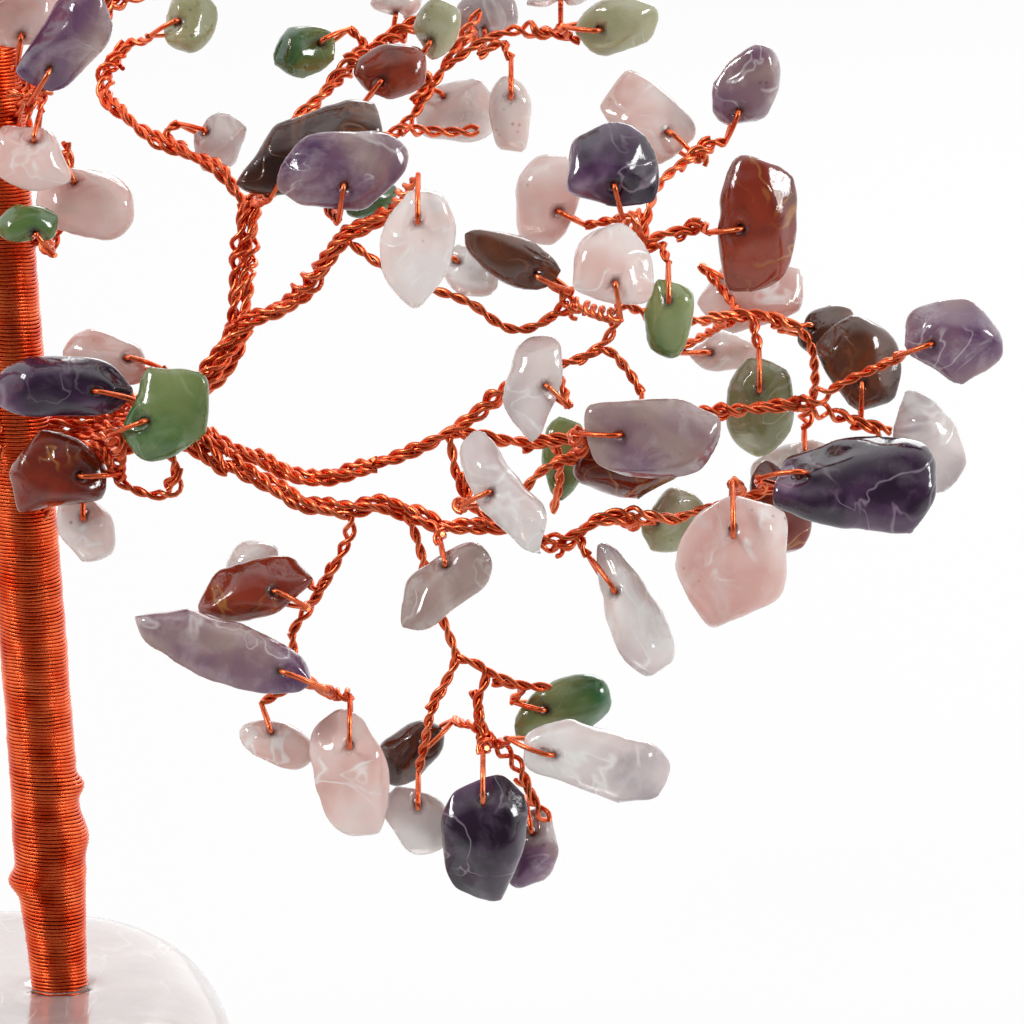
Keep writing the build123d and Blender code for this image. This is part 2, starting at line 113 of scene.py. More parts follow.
# Branch routes: half thickness in pixels, then points as across, down and depth in pixels
lower_branches_pixels = (
    (15, ((28, 540, 0), (60, 474, -30), (120, 444, -78), (170, 434, -115), (230, 464, -145))),
    (11, ((230, 464, -145), (270, 486, -160), (340, 508, -190), (390, 506, -200), (440, 524, -210))),
    (9, ((440, 524, -210), (490, 525, -215), (560, 540, -215), (600, 520, -215), (680, 518, -210))),
    (6, ((680, 518, -210), (740, 500, -205), (775, 488, -205))),
    (6, ((405, 512, -205), (430, 570, -195), (445, 625, -195), (456, 655, -200))),
    (5, ((456, 655, -200), (445, 682, -200), (432, 708, -205))),
    (5, ((456, 655, -200), (484, 668, -200), (478, 704, -200), (486, 738, -205))),
    (5, ((484, 668, -200), (520, 684, -195), (548, 688, -190))),
    (5, ((486, 738, -205), (512, 758, -200), (534, 798, -200), (549, 820, -200))),
    (5, ((352, 524, -190), (320, 590, -180), (292, 632, -180))),
    (5, ((292, 632, -180), (300, 676, -190), (330, 694, -200))),
)
upper_branches_pixels = (
    (13, ((25, 500, 0), (60, 458, 0), (130, 425, -40), (190, 392, -85), (240, 325, -85))),
    (10, ((240, 325, -85), (290, 300, -110), (320, 270, -130), (345, 238, -150), (385, 215, -165))),
    (10, ((130, 425, -40), (190, 428, -68), (250, 458, -105), (310, 478, -145), (375, 465, -180))),
    (8, ((375, 465, -180), (410, 453, -190), (450, 434, -190), (490, 402, -185), (540, 370, -180))),
    (7, ((540, 370, -180), (600, 345, -175), (618, 305, -170), (640, 250, -150), (700, 222, -150))),
    (6, ((640, 250, -150), (650, 200, -120), (690, 158, -70), (712, 142, -55))),
    (8, ((450, 434, -190), (540, 440, -150), (640, 425, -130), (720, 410, -140), (800, 402, -150))),
    (6, ((800, 402, -150), (845, 384, -165), (905, 355, -185))),
    (5, ((800, 402, -150), (850, 418, -145), (890, 434, -140))),
    (5, ((618, 305, -170), (690, 322, -110), (760, 314, -72), (800, 326, -70))),
    (6, ((345, 238, -150), (390, 272, -170), (470, 305, -185), (520, 330, -190), (570, 305, -190))),
    (5, ((570, 305, -190), (562, 292, -190), (548, 282, -190))),
    (5, ((450, 434, -190), (470, 500, -200), (500, 515, -205), (530, 480, -200), (580, 455, -195))),
)
rear_branches_pixels = (
    (14, ((22, 440, 0), (70, 425, 10), (150, 400, -20), (215, 372, -60), (242, 322, -70))),
    (13, ((242, 322, -70), (244, 270, -50), (250, 205, -25))),
    (9, ((250, 205, -25), (215, 165, 10), (165, 143, 50), (110, 105, 100), (102, 84, 130), (125, 45, 160))),
    (9, ((250, 205, -25), (268, 178, -15), (300, 122, 20), (328, 92, 50), (372, 48, 100), (430, 12, 140))),
    (7, ((300, 122, 20), (350, 130, 55), (400, 130, 80), (442, 68, 110), (482, 12, 140))),
    (6, ((442, 68, 110), (520, 30, 112), (580, 40, 90))),
    (6, ((400, 130, 80), (440, 134, 105), (476, 132, 105))),
    (6, ((22, 250, 0), (60, 220, -12), (72, 176, -20), (66, 142, -34))),
    (6, ((15, 130, 0), (30, 92, -60), (58, 82, -80))),
    (6, ((30, 470, -10), (108, 461, -92), (124, 486, -112), (170, 492, -126), (178, 470, -134))),
    (6, ((300, 122, 20), (320, 150, -20), (335, 190, -60))),
)

# Chips: stone, outline, across, down, depth, length, width, turn, side of the eye, and True if it hangs
lower_chips_pixels = (
    ("red_jasper", "wedge", 248, 592, -200, 124, 60, 20, -20),
    ("lilac_amethyst", "drop", 222, 652, -250, 186, 62, -20, -20),
    ("rose_quartz", "pebble", 274, 742, -190, 84, 46, -25, 110),
    ("rose_quartz", "slab", 350, 770, -225, 122, 76, 92, 90, True),
    ("brown_jasper", "tooth", 405, 752, -130, 78, 56, 60, 40),
    ("quartz", "pebble", 418, 815, -190, 80, 60, -60, 90, True),
    ("deep_amethyst", "slab", 483, 832, -232, 130, 82, 85, 90, True),
    ("lilac_amethyst", "shard", 536, 850, -175, 90, 52, 80, 100),
    ("aventurine", "pebble", 560, 711, -165, 104, 62, 25, 170),
    ("quartz", "wedge", 593, 762, -232, 172, 70, -14, 165),
    ("smoky_quartz", "wedge", 444, 590, -264, 118, 58, 40, 100),
    ("quartz", "drop", 628, 610, -245, 140, 60, -62, 125),
    ("prehnite", "shard", 672, 524, -150, 72, 58, 40, 180),
    ("rose_quartz", "pebble", 729, 563, -296, 130, 110, 80, 90, True),
    ("red_jasper", "drop", 778, 503, -160, 116, 60, -75, 170),
    ("deep_amethyst", "slab", 858, 479, -240, 162, 96, -8, 180),
    ("quartz", "pebble", 252, 562, -150, 62, 48, 10, -10),
)
upper_chips_pixels = (
    ("quartz", "shard", 503, 492, -255, 172, 52, -58, 200),
    ("quartz", "wedge", 535, 385, -215, 112, 56, 80, -40),
    ("aventurine", "pebble", 562, 457, -105, 88, 46, 85, -100),
    ("lilac_amethyst", "slab", 654, 432, -235, 126, 84, 5, 180),
    ("red_jasper", "pebble", 637, 450, -177, 130, 86, 30, 90),
    ("aventurine", "drop", 668, 322, -178, 88, 50, 88, 90, True),
    ("rose_quartz", "tooth", 616, 262, -252, 84, 76, -15, -80),
    ("deep_amethyst", "tooth", 613, 160, -200, 96, 82, -10, -75),
    ("rose_quartz", "slab", 545, 200, -80, 92, 64, 75, -30),
    ("brown_jasper", "drop", 508, 256, -205, 110, 52, -28, -30),
    ("rose_quartz", "drop", 417, 252, -235, 116, 74, 82, 90, True),
    ("quartz", "shard", 470, 272, -165, 62, 50, -30, 150),
    ("rose_quartz", "pebble", 745, 292, -30, 108, 72, 10, 150),
    ("red_jasper", "slab", 760, 221, -165, 134, 76, 88, -170),
    ("prehnite", "pebble", 757, 412, -90, 100, 68, 85, 90, True),
    ("brown_jasper", "pebble", 824, 330, -45, 68, 52, 20, 180),
    ("brown_jasper", "slab", 862, 362, -102, 98, 76, -50, -90),
    ("lilac_amethyst", "pebble", 951, 333, -205, 96, 82, -40, 200),
    ("quartz", "drop", 923, 441, -140, 120, 76, -65, 180),
    ("lilac_amethyst", "pebble", 744, 88, -50, 90, 68, 60, -110),
    ("rose_quartz", "slab", 650, 122, -30, 94, 66, -40, -40),
    ("quartz", "pebble", 800, 470, -48, 130, 62, 8, 90),
    ("rose_quartz", "pebble", 728, 352, 10, 80, 44, 0, 180),
)
rear_chips_pixels = (
    ("rose_quartz", "wedge", 103, 358, -40, 90, 50, -25, -10),
    ("deep_amethyst", "slab", 66, 388, -125, 134, 62, 2, -10),
    ("aventurine", "shard", 170, 414, -155, 102, 82, 60, 200),
    ("red_jasper", "tooth", 56, 466, -120, 94, 76, 15, 0),
    ("rose_quartz", "drop", 82, 524, -75, 76, 56, -65, 90, True),
    ("rose_quartz", "slab", 86, 204, -60, 94, 68, -12, 118),
    ("rose_quartz", "pebble", 30, 158, -110, 88, 66, -40, 80),
    ("aventurine", "pebble", 26, 224, -105, 66, 42, 5, -50),
    ("rose_quartz", "pebble", 22, 18, -60, 84, 58, 15, -100),
    ("lilac_amethyst", "slab", 66, 40, -120, 116, 62, 52, -120),
    ("brown_jasper", "pebble", 312, 145, -60, 156, 70, 25, -130),
    ("lilac_amethyst", "wedge", 341, 172, -115, 132, 80, 10, -100),
    ("aventurine", "shard", 372, 196, -60, 60, 44, 30, 200),
    ("rose_quartz", "slab", 511, 112, 100, 76, 42, 88, 90, True),
    ("prehnite", "pebble", 618, 26, 70, 94, 58, 10, 180),
    ("prehnite", "slab", 192, 20, 130, 66, 54, 80, 200),
    ("aventurine", "pebble", 305, 52, 90, 70, 58, 20, 30),
    ("red_jasper", "drop", 385, 72, 50, 74, 54, 10, -130),
    ("prehnite", "pebble", 436, 30, 90, 62, 48, 75, -120),
    ("quartz", "pebble", 482, 14, 170, 76, 50, 15, -90),
    ("rose_quartz", "wedge", 455, 112, 150, 92, 70, 20, 150),
    ("quartz", "pebble", 218, 140, 60, 66, 54, 60, 160),
    ("quartz", "slab", 562, -8, 130, 76, 40, 5, -90),
    ("rose_quartz", "pebble", 396, 2, 150, 56, 40, 10, -100),
)

# Limbs: shape, azimuth, pitch, rise as a share of the trunk above the first, mirrored, first chip, step
limbs = {
    "right_lower": ("lower", 0, 0, 0, False, 0, 1),
    "right_upper": ("upper", 0, 0, 0, False, 0, 1),
    "right_rear": ("rear", 0, 0, 0, False, 0, 1),
    "left_lower": ("lower", 186, 2, 0.064, False, 0, 2),
    "left_upper": ("upper", 196, 4, 0.19, True, 0, 2),
    "back_upper": ("upper", 104, 10, 0.276, True, 1, 2),
    "front_lower": ("lower", 252, 6, 0.16, False, 1, 2),
    "crown_right": ("upper", 34, 36, 0.7, False, 0, 2),
    "crown_left": ("upper", 218, 40, 0.765, True, 1, 2),
    "crown_top": ("top", 286, 34, 0.87, False, 0, 1),
}
shapes = {
    "lower": (lower_branches_pixels, lower_chips_pixels),
    "upper": (upper_branches_pixels, upper_chips_pixels),
    "rear": (rear_branches_pixels, rear_chips_pixels),
    "top": (rear_branches_pixels[:7], rear_chips_pixels[10:22]),
}

view_right = Vector((1, 0, 0))
view_up = Vector((0, sin(radians(VIEW_ELEVATION)), cos(radians(VIEW_ELEVATION))))
view_forward = Vector((0, cos(radians(VIEW_ELEVATION)), -sin(radians(VIEW_ELEVATION))))
trunk_foot = Vector((0, 0, BASE_HEIGHT))
trunk_way = Vector((-sin(radians(TRUNK_LEAN)), 0, cos(radians(TRUNK_LEAN))))
trunk_top = trunk_foot + trunk_way * TRUNK_HEIGHT
foot_across = (trunk_foot_pixels[0] - PICTURE_PIXELS / 2) * PIXEL
foot_up = (PICTURE_PIXELS / 2 - trunk_foot_pixels[1]) * PIXEL
view_middle = Vector((0, 0, BASE_HEIGHT)) - view_right * foot_across - view_up * foot_up


def seen(across, down, depth):
    """The point that the picture shows at a pixel, at a depth behind the trunk, in millimetres."""
    sideways = (across - PICTURE_PIXELS / 2) * PIXEL
    upwards = (PICTURE_PIXELS / 2 - down) * PIXEL
    behind = depth * PIXEL - view_middle.y - upwards * view_up.y
    forward = behind / (view_forward.y + upwards * view_up.y / VIEW_DISTANCE)
    spread = 1 + forward / VIEW_DISTANCE
    return view_middle + (view_right * sideways + view_up * upwards) * spread + view_forward * forward


class Growth:
    """Where a limb stands: the photographed limb turned about the trunk, pitched up and raised."""

    def __init__(self, azimuth, pitch, rise, mirrored):
        self.turn = Matrix.Rotation(radians(azimuth), 3, "Z") @ Matrix.Rotation(radians(-pitch), 3, "Y")
        self.side = -1 if mirrored else 1
        above = seen(*limb_root_pixels, 0).z - BASE_HEIGHT
        self.pivot = trunk_foot + trunk_way * (above / cos(radians(TRUNK_LEAN)))
        self.root = self.pivot + (trunk_top - self.pivot) * rise

    def way(self, vector):
        return self.turn @ Vector((vector.x, vector.y * self.side, vector.z))

    def point(self, across, down, depth):
        return self.root + self.way(seen(across, down, depth) - self.pivot)

    def axes(self, tilt, hanging):
        """A chip's own across, up and facing directions."""
        facing = self.way(view_forward) * -self.side
        if hanging:
            facing = Vector((facing.x, facing.y, 0)).normalized()
            across = Vector((0, 0, 1)).cross(facing)
            return across, facing.cross(across), facing
        across = self.way(view_right)
        up = facing.cross(across)
        lean = radians(tilt * self.side)
        return across, up * cos(lean) + facing * sin(lean), facing * cos(lean) - up * sin(lean)


class Chip:
    """One drilled chip of the tree: its place, its axes, its hole and the neck of its wire."""

    def __init__(self, growth, limb, index, stone, outline, across, down, depth,
                 length, width, turn, eye, hanging=False):
        self.limb = limb
        self.hanging = hanging
        self.centre = growth.point(across, down, depth)
        self.across, self.up, self.facing = growth.axes(CHIP_TILT_STEP * (index % 5 - 2), hanging)
        spin = Matrix.Rotation(radians(turn), 2)
        rim = [spin @ Vector((x * length * PIXEL, y * width * PIXEL)) for x, y in outline_shares[outline]]
        self.thickness = max(LEAST_THICKNESS, width * PIXEL * THICKNESS_SHARE)
        self.eye_way = Vector((0, 1)) if hanging else Vector((cos(radians(eye)), sin(radians(eye))))
        area, middle = 0, Vector((0, 0))
        for first, second in zip(rim, rim[1:] + rim[:1]):
            cross = first.x * second.y - second.x * first.y
            area += cross / 2
            middle += (first + second) * cross / 6
        self.middle = middle / area
        self.rim = self.rim_distance(rim)
        self.hole = self.middle + self.eye_way * max(self.rim * HOLE_REACH_SHARE, self.rim - HOLE_EDGE)

    def rim_distance(self, rim):
        """How far the rim lies from the chip's middle, towards the eye."""
        reach = []
        for first, second in zip(rim, rim[1:] + rim[:1]):
            edge, gap = second - first, first - self.middle
            cross = self.eye_way.x * edge.y - self.eye_way.y * edge.x
            if cross:
                along = (gap.x * edge.y - gap.y * edge.x) / cross
                side = (gap.x * self.eye_way.y - gap.y * self.eye_way.x) / cross
                if along > 0 and 0 <= side <= 1:
                    reach.append(along)
        return min(reach)

    def spot(self, place, out=0.0):
        """A point given in the chip's own plane, and how far it lies in front of it."""
        return self.centre + self.across * place.x + self.up * place.y + self.facing * out


def nearest_place(target, start, end):
    """The place between two points that lies nearest to the target."""
    run = end - start
    return start + run * max(0, min(1, (target - start).dot(run) / run.dot(run)))


def branch_side(target, branches):
    """The nearest place on the side of a branch, and the branch's way towards its root there."""
    best = None
    for index, (half, route) in enumerate(branches):
        for start, end in list(zip(route, route[1:]))[1 if index == 0 else 0:]:
            place = nearest_place(target, start, end)
            gap = (target - place).length - half
            if best is None or gap < best[0]:
                best = (gap, place + (target - place).normalized() * half, (start - end).normalized())
    return best[1:]


def rooted(number, routes):
    """A branch's route, led back to the middle of the branch that it leaves."""
    half, route = routes[number]
    places = [nearest_place(route[0], start, end)
              for other, spots in routes[:number] for start, end in zip(spots, spots[1:])]
    nearest = min(places, key=lambda place: (place - route[0]).length, default=route[0])
    led_back = LEAST_ROOT < (nearest - route[0]).length < MOST_ROOT
    return half, [nearest, *route] if led_back else route


def plan_tree():
    """All branches and chips of the tree, in millimetres."""
    branches, chips = {}, []
    for limb, (shape, azimuth, pitch, rise, mirrored, first, step) in limbs.items():
        growth = Growth(azimuth, pitch, rise, mirrored)
        routes, stones = shapes[shape]
        branches[limb] = [(half * PIXEL, [growth.point(*spot) for spot in spots]) for half, spots in routes]
        for index, values in enumerate(stones):
            if index % step == first % step:
                chips.append(Chip(growth, limb, index, *values))
    return branches, chips


branches, chips = plan_tree()


# Helpers for node trees

class Value:
    """An output of a node; arithmetic on it adds further nodes to its tree."""

    def __init__(self, tree, socket):
        self.tree = tree
        self.socket = socket

    def math(self, operation, *others):
        return result(self.tree, "ShaderNodeMath", enumerate((self, *others)), operation=operation)

    __add__ = partialmethod(math, "ADD")
    __sub__ = partialmethod(math, "SUBTRACT")
    __mul__ = partialmethod(math, "MULTIPLY")
    __truediv__ = partialmethod(math, "DIVIDE")

    def vector(self, operation, other):
        return result(self.tree, "ShaderNodeVectorMath", {0: self, 1: other}, operation=operation)

    def scaled(self, factor):
        """This vector times a number."""
        return result(self.tree, "ShaderNodeVectorMath", {0: self, "Scale": factor}, operation="SCALE")

    def ramp(self, *stops):
        """The colour that stops of (value, colour) give this value."""
        colour = result(self.tree, "ShaderNodeValToRGB", {0: self})
        elements = colour.socket.node.color_ramp.elements
        while len(elements) < len(stops):
            elements.new(0.5)
        for element, (at, shade) in zip(elements, stops):
            element.position = at
            element.color = (*shade, 1.0)
        return colour

    def fade(self, low, high, first=0.0, last=1.0):
        """A level that runs from first to last while this value runs from low to high."""
        return self.ramp((low, (first,) * 3), (high, (last,) * 3))

    def mix(self, first, second, kind="RGBA"):
        """The blend of two colours, or of two numbers for the kind FLOAT, by this factor."""
        low, high, output = (6, 7, 2) if kind == "RGBA" else (2, 3, 0)
        return result(self.tree, "ShaderNodeMix", {0: self, low: first, high: second}, output, data_type=kind)

    def bump(self, strength, distance):
        """The normal of a surface with this height."""
        inputs = {"Height": self, "Strength": strength, "Distance": distance}
        return result(self.tree, "ShaderNodeBump", inputs)


def fill(tree, node, inputs):
    """Sets a node's inputs, each to a value or to another node's output."""
    for key, value in dict(inputs).items():
        socket = node.inputs[key]
        value = getattr(value, "socket", value)
        if isinstance(value, bpy.types.NodeSocket):
            tree.links.new(value, socket)
        elif socket.type == "RGBA" and len(value) == 3:
            socket.default_value = (*value, 1.0)
        else:
            socket.default_value = value


def result(tree, kind, inputs=(), outputs=0, **settings):
    """Adds a node with its settings and inputs, and gives one of its outputs, or several."""
    node = tree.nodes.new(kind)
    for name, value in settings.items():
        setattr(node, name, value)
    fill(tree, node, inputs)
    if isinstance(outputs, tuple):
        return [Value(tree, node.outputs[output]) for output in outputs]
    return Value(tree, node.outputs[outputs])


# Node trees for the wires

# Sides of the sections of a pair's, an eye's and the winding's wire
PAIR_SIDES = 7
EYE_SIDES = 8
WINDING_SIDES = 6
# A bundle's pairs: the room that each takes, as a share of the wire's radius, and how far they wander
PAIR_SHARE = 0.72
BUNDLE_LOOSENESS = 0.9
# A pair's two wires: distance from its middle, as a share of the wire's radius, and first turn
PAIR_REACH = 0.98
PAIR_START = 0.13
# Where a pair's wires stand apart: above this level of the noise, and how much
LEAST_LOOSE = 0.56
PAIR_SLACK = 9.0
# Waves per metre of the routes, of the bundles' pairs and of the loose places
ROUTE_WAVES = 160.0
BUNDLE_WAVES = 420.0
LOOSE_WAVES = 230.0
# The close winding: steps in a turn, and its uneven thickness and lay as waves per metre and size in metres
TURN_STEPS = 30
UNEVEN = ((0.4, 0.4, 900.0), 0.00022)
DRIFT = ((0.6, 0.6, 260.0), 0.0006)
# The wound trunk's thickness as a share of TRUNK_RADIUS, at shares of its height
WINDING_SHARES = (
    (0.0, 0.84), (0.04, 0.88), (0.09, 0.98), (0.13, 1.05), (0.17, 1.06), (0.2, 1.0), (0.24, 1.0),
    (0.3, 0.985), (0.36, 1.0), (0.5, 0.985), (0.7, 0.97), (0.93, 0.95), (0.975, 0.84), (1.0, 0.56),
)
# The share that the top of the curve stands for, above the largest of them
MOST_SHARE = 1.2
# Knuckles under the winding: right or left, height, size and spread in metres
KNUCKLES = ((1.0, 0.0166, 0.00055, 0.0007), (1.0, 0.0125, 0.0004, 0.0012), (-1.0, 0.0088, 0.00065, 0.0009))
KNUCKLE_NARROWNESS = 2.2


def new_geometry_tree(name, *labels):
    """A node tree for a geometry, a material and named numbers, and those inputs by name."""
    tree = bpy.data.node_groups.new(name, "GeometryNodeTree")
    tree.interface.new_socket("Geometry", in_out="OUTPUT", socket_type="NodeSocketGeometry")
    kinds = {"Geometry": "NodeSocketGeometry", "Material": "NodeSocketMaterial"}
    labels = ("Geometry", *labels, "Material")
    for label in labels:
        tree.interface.new_socket(label, in_out="INPUT", socket_type=kinds.get(label, "NodeSocketFloat"))
    source = tree.nodes.new("NodeGroupInput")
    return tree, {label: Value(tree, source.outputs[label]) for label in labels}


def finish_tree(tree, geometry, given):
    """Realizes the instances, sets smooth faces and the material, and ends the tree."""
    geometry = result(tree, "GeometryNodeRealizeInstances", {"Geometry": geometry})
    geometry = result(tree, "GeometryNodeSetShadeSmooth", {"Geometry": geometry})
    geometry = result(tree, "GeometryNodeSetMaterial", {"Geometry": geometry, "Material": given["Material"]})
    fill(tree, tree.nodes.new("NodeGroupOutput"), {0: geometry})
    return tree


def noise_at(tree, place, scale, detail, output="Fac"):
    """Noise at a place, as a level or as a colour."""
    return result(tree, "ShaderNodeTexNoise", {"Vector": place, "Scale": scale, "Detail": detail}, output)


def even_route(tree, given):
    """The route cut into even steps."""
    return result(tree, "GeometryNodeResampleCurve", {"Curve": given["Geometry"], "Length": given["Step"]},
                  mode="LENGTH")


def round_wire(tree, curve, radius, sides):
    """A wire of even thickness along each curve."""
    section = result(tree, "GeometryNodeCurvePrimitiveCircle", {"Resolution": sides, "Radius": radius})
    even = result(tree, "GeometryNodeSetCurveRadius", {"Curve": curve, "Radius": 1.0})
    inputs = {"Curve": even, "Profile Curve": section, "Fill Caps": True}
    return result(tree, "GeometryNodeCurveToMesh", inputs)


def helix_step(tree, geometry, amount, radius, pitch, start, slack=0.0):
    """Winds copies of each curve round it, and lets them stand apart here and there."""
    copies, index = result(tree, "GeometryNodeDuplicateElements", {"Geometry": geometry, "Amount": amount},
                           ("Geometry", "Duplicate Index"), domain="SPLINE")
    length = result(tree, "GeometryNodeSplineParameter", outputs="Length")
    normal = result(tree, "GeometryNodeInputNormal")
    side = result(tree, "GeometryNodeInputTangent").vector("CROSS_PRODUCT", normal)
    angle = (length / pitch + index / amount + start) * (2 * pi)
    around = normal.scaled(angle.math("COSINE")).vector("ADD", side.scaled(angle.math("SINE")))
    loose = noise_at(tree, result(tree, "GeometryNodeInputPosition"), LOOSE_WAVES, 0.0)
    reach = radius * ((loose - LEAST_LOOSE).math("MAXIMUM", 0.0) * slack + 1.0)
    return result(tree, "GeometryNodeSetPosition", {"Geometry": copies, "Offset": around.scaled(reach)})


def wandering(tree, geometry, amount, waves):
    """Moves points a little, alike for points at the same place, so that joined wires stay joined."""
    wave = noise_at(tree, result(tree, "GeometryNodeInputPosition"), waves, 1.0, "Color")
    offset = wave.vector("SUBTRACT", (0.5, 0.5, 0.5)).scaled(amount)
    return result(tree, "GeometryNodeSetPosition", {"Geometry": geometry, "Offset": offset})


def twisted_wire_tree():
    """Twisted pairs of wire along routes: a route's radius says how many pairs its bundle has."""
    tree, given = new_geometry_tree("Twisted wire", "Wire Radius", "Pair Pitch", "Bundle Pitch", "Step",
                                    "Waviness")
    wire = given["Wire Radius"]
    route = wandering(tree, even_route(tree, given), given["Waviness"], ROUTE_WAVES)
    spare = (result(tree, "GeometryNodeInputRadius") - wire * 2.0).math("MAXIMUM", 0.0)
    count = (spare / (wire * PAIR_SHARE)).math("ROUND").math("MAXIMUM", 1.0)
    ring = spare * count.math("GREATER_THAN", 1.5)
    bundle = helix_step(tree, route, count, ring, given["Bundle Pitch"], 0.0)
    bundle = wandering(tree, bundle, ring * BUNDLE_LOOSENESS, BUNDLE_WAVES)
    pair = helix_step(tree, bundle, 2, wire * PAIR_REACH, given["Pair Pitch"], PAIR_START, PAIR_SLACK)
    return finish_tree(tree, round_wire(tree, pair, wire, PAIR_SIDES), given)


def single_wire_tree():
    """One plain wire along each route."""
    tree, given = new_geometry_tree("Single wire", "Wire Radius", "Step")
    wire = round_wire(tree, even_route(tree, given), given["Wire Radius"], EYE_SIDES)
    return finish_tree(tree, wire, given)


def winding_profile(share):
    """The wound trunk's radius at a share of its height, as a share of the largest."""
    profile = result(share.tree, "ShaderNodeFloatCurve", {"Value": share})
    mapping = profile.socket.node.mapping
    points = mapping.curves[0].points
    while len(points) < len(WINDING_SHARES):
        points.new(0.5, 0.5)
    for point, (at, value) in zip(points, WINDING_SHARES):
        point.location = (at, value / MOST_SHARE)
        point.handle_type = "AUTO"
    mapping.update()
    return profile


def close_winding_tree():
    """Fine wire wound turn by turn round the leaning trunk, over its knuckles, with the sleeve under it."""
    tree, given = new_geometry_tree("Close winding", "Turns", "Height", "Foot", "Trunk Radius",
                                    "Wire Radius", "Lean")
    coil = result(tree, "GeometryNodeCurveSpiral", {
        "Resolution": TURN_STEPS, "Rotations": given["Turns"], "Start Radius": 1.0, "End Radius": 1.0,
        "Height": given["Height"]})
    place = result(tree, "GeometryNodeInputPosition")
    right, behind, height = result(tree, "ShaderNodeSeparateXYZ", {0: place}, (0, 1, 2))
    thickness = winding_profile(height / given["Height"]) * (given["Trunk Radius"] * MOST_SHARE)
    reach = thickness - given["Wire Radius"]
    for way, level, size, spread in KNUCKLES:
        above = (height - level) / spread
        fall = (right * way - 1.0) * KNUCKLE_NARROWNESS - above * above
        reach = reach + fall.math("EXPONENT") * size
    uneven = noise_at(tree, place.vector("MULTIPLY", UNEVEN[0]), 1.0, 2.0)
    reach = reach + (uneven - 0.5) * UNEVEN[1]
    drift = noise_at(tree, place.vector("MULTIPLY", DRIFT[0]), 1.0, 1.0)
    height = height + (drift - 0.5) * DRIFT[1]
    spot = result(tree, "ShaderNodeCombineXYZ", {
        0: right * reach - height * given["Lean"], 1: behind * reach, 2: height + given["Foot"]})
    wound = result(tree, "GeometryNodeSetPosition", {"Geometry": coil, "Position": spot})
    both = result(tree, "GeometryNodeJoinGeometry")
    for piece in (round_wire(tree, wound, given["Wire Radius"], WINDING_SIDES), given["Geometry"]):
        fill(tree, both.socket.node, {0: piece})
    return finish_tree(tree, both, given)


# Objects and meshes

# How far the pieces stay above the ground, in metres
GROUND_GAP = 1e-9


def placed(name, data):
    """A new object for the data, in the scene."""
    piece = bpy.data.objects.new(name, data)
    bpy.context.scene.collection.objects.link(piece)
    return piece


def evaluated_mesh(piece):
    """The mesh that an object shows with its modifiers."""
    bpy.context.view_layer.update()
    depsgraph = bpy.context.evaluated_depsgraph_get()
    return bpy.data.meshes.new_from_object(piece.evaluated_get(depsgraph), depsgraph=depsgraph)


def routes_object(routes):
    """A curve object whose splines pass smoothly through each route: (radius, points) in millimetres."""
    data = bpy.data.curves.new("routes", "CURVE")
    data.dimensions = "3D"
    data.resolution_u = 16
    for radius, points in routes:
        spline = data.splines.new("BEZIER")
        spline.bezier_points.add(len(points) - 1)
        for knot, point in zip(spline.bezier_points, points):
            knot.co = point * MM
            knot.handle_left_type = knot.handle_right_type = "AUTO"
            knot.radius = radius * MM
    return placed("routes", data)


def grown_mesh(name, source, tree, values):
    """Runs a node tree on an object, keeps the result as a plain mesh object and removes the source."""
    modifier = source.modifiers.new(tree.name, "NODES")
    modifier.node_group = tree
    for item in tree.interface.items_tree:
        if item.in_out == "INPUT" and item.name in values:
            modifier[item.identifier] = values[item.name]
    mesh = evaluated_mesh(source)
    source.modifiers.remove(modifier)
    bpy.data.objects.remove(source)
    return placed(name, mesh)


def join_pieces(name, pieces):
    """Joins mesh objects that share a body into one."""
    first = pieces[0]
    with bpy.context.temp_override(active_object=first, selected_objects=pieces,
                                   selected_editable_objects=pieces):
        bpy.ops.object.join()
    first.name = name
    first.data.name = name
    return first


def merged_copy(node, name):
    """A copy of a node's mesh with its loose triangles merged."""
    mesh = frame["nodes"][node].data.copy()
    work = bmesh.new()
    work.from_mesh(mesh)
    bmesh.ops.remove_doubles(work, verts=work.verts, dist=1e-7)
    work.to_mesh(mesh)
    work.free()
    return placed(name, mesh)


def mesh_points(mesh):
    """A mesh's points, and its edges as pairs of point numbers."""
    points = np.empty(len(mesh.vertices) * 3)
    mesh.vertices.foreach_get("co", points)
    edges = np.empty(len(mesh.edges) * 2, dtype=np.int64)
    mesh.edges.foreach_get("vertices", edges)
    return points.reshape(-1, 3), edges.reshape(-1, 2)


def set_points(mesh, points):
    mesh.vertices.foreach_set("co", points.ravel())
    mesh.update()


def dress(piece, material, slot, body, *nodes):
    """Gives a piece its material and its place in the part, and keeps it inside the part's box."""
    mesh = piece.data
    mesh.materials.clear()
    mesh.materials.append(material)
    mesh.polygons.foreach_set("material_index", [0] * len(mesh.polygons))
    mesh.polygons.foreach_set("use_smooth", [True] * len(mesh.polygons))
    low = np.array(cad_box[0]) + (0, 0, GROUND_GAP)
    set_points(mesh, np.clip(mesh_points(mesh)[0], low, cad_box[1]))
    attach(piece, body)
    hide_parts(*nodes)


# Tumbled stones

# A stone's ends: where they begin and how much of them is left, as shares of its half length
END_START = 0.84
END_LEFT = 0.25
# The rounded outline that it is drawn towards: slices to measure it in, its curve and how far it is drawn
SLICES = 14
OUTLINE_POWERS = (2.6, 0.4)
OUTLINE_SHARE = 0.97
OUTLINE_STRENGTH = 0.62
WIDER_LIMITS = (0.9, 2.3)
# Of every five flats these are on the faces, and the rest at the rim
FACES_OF_FIVE = 3
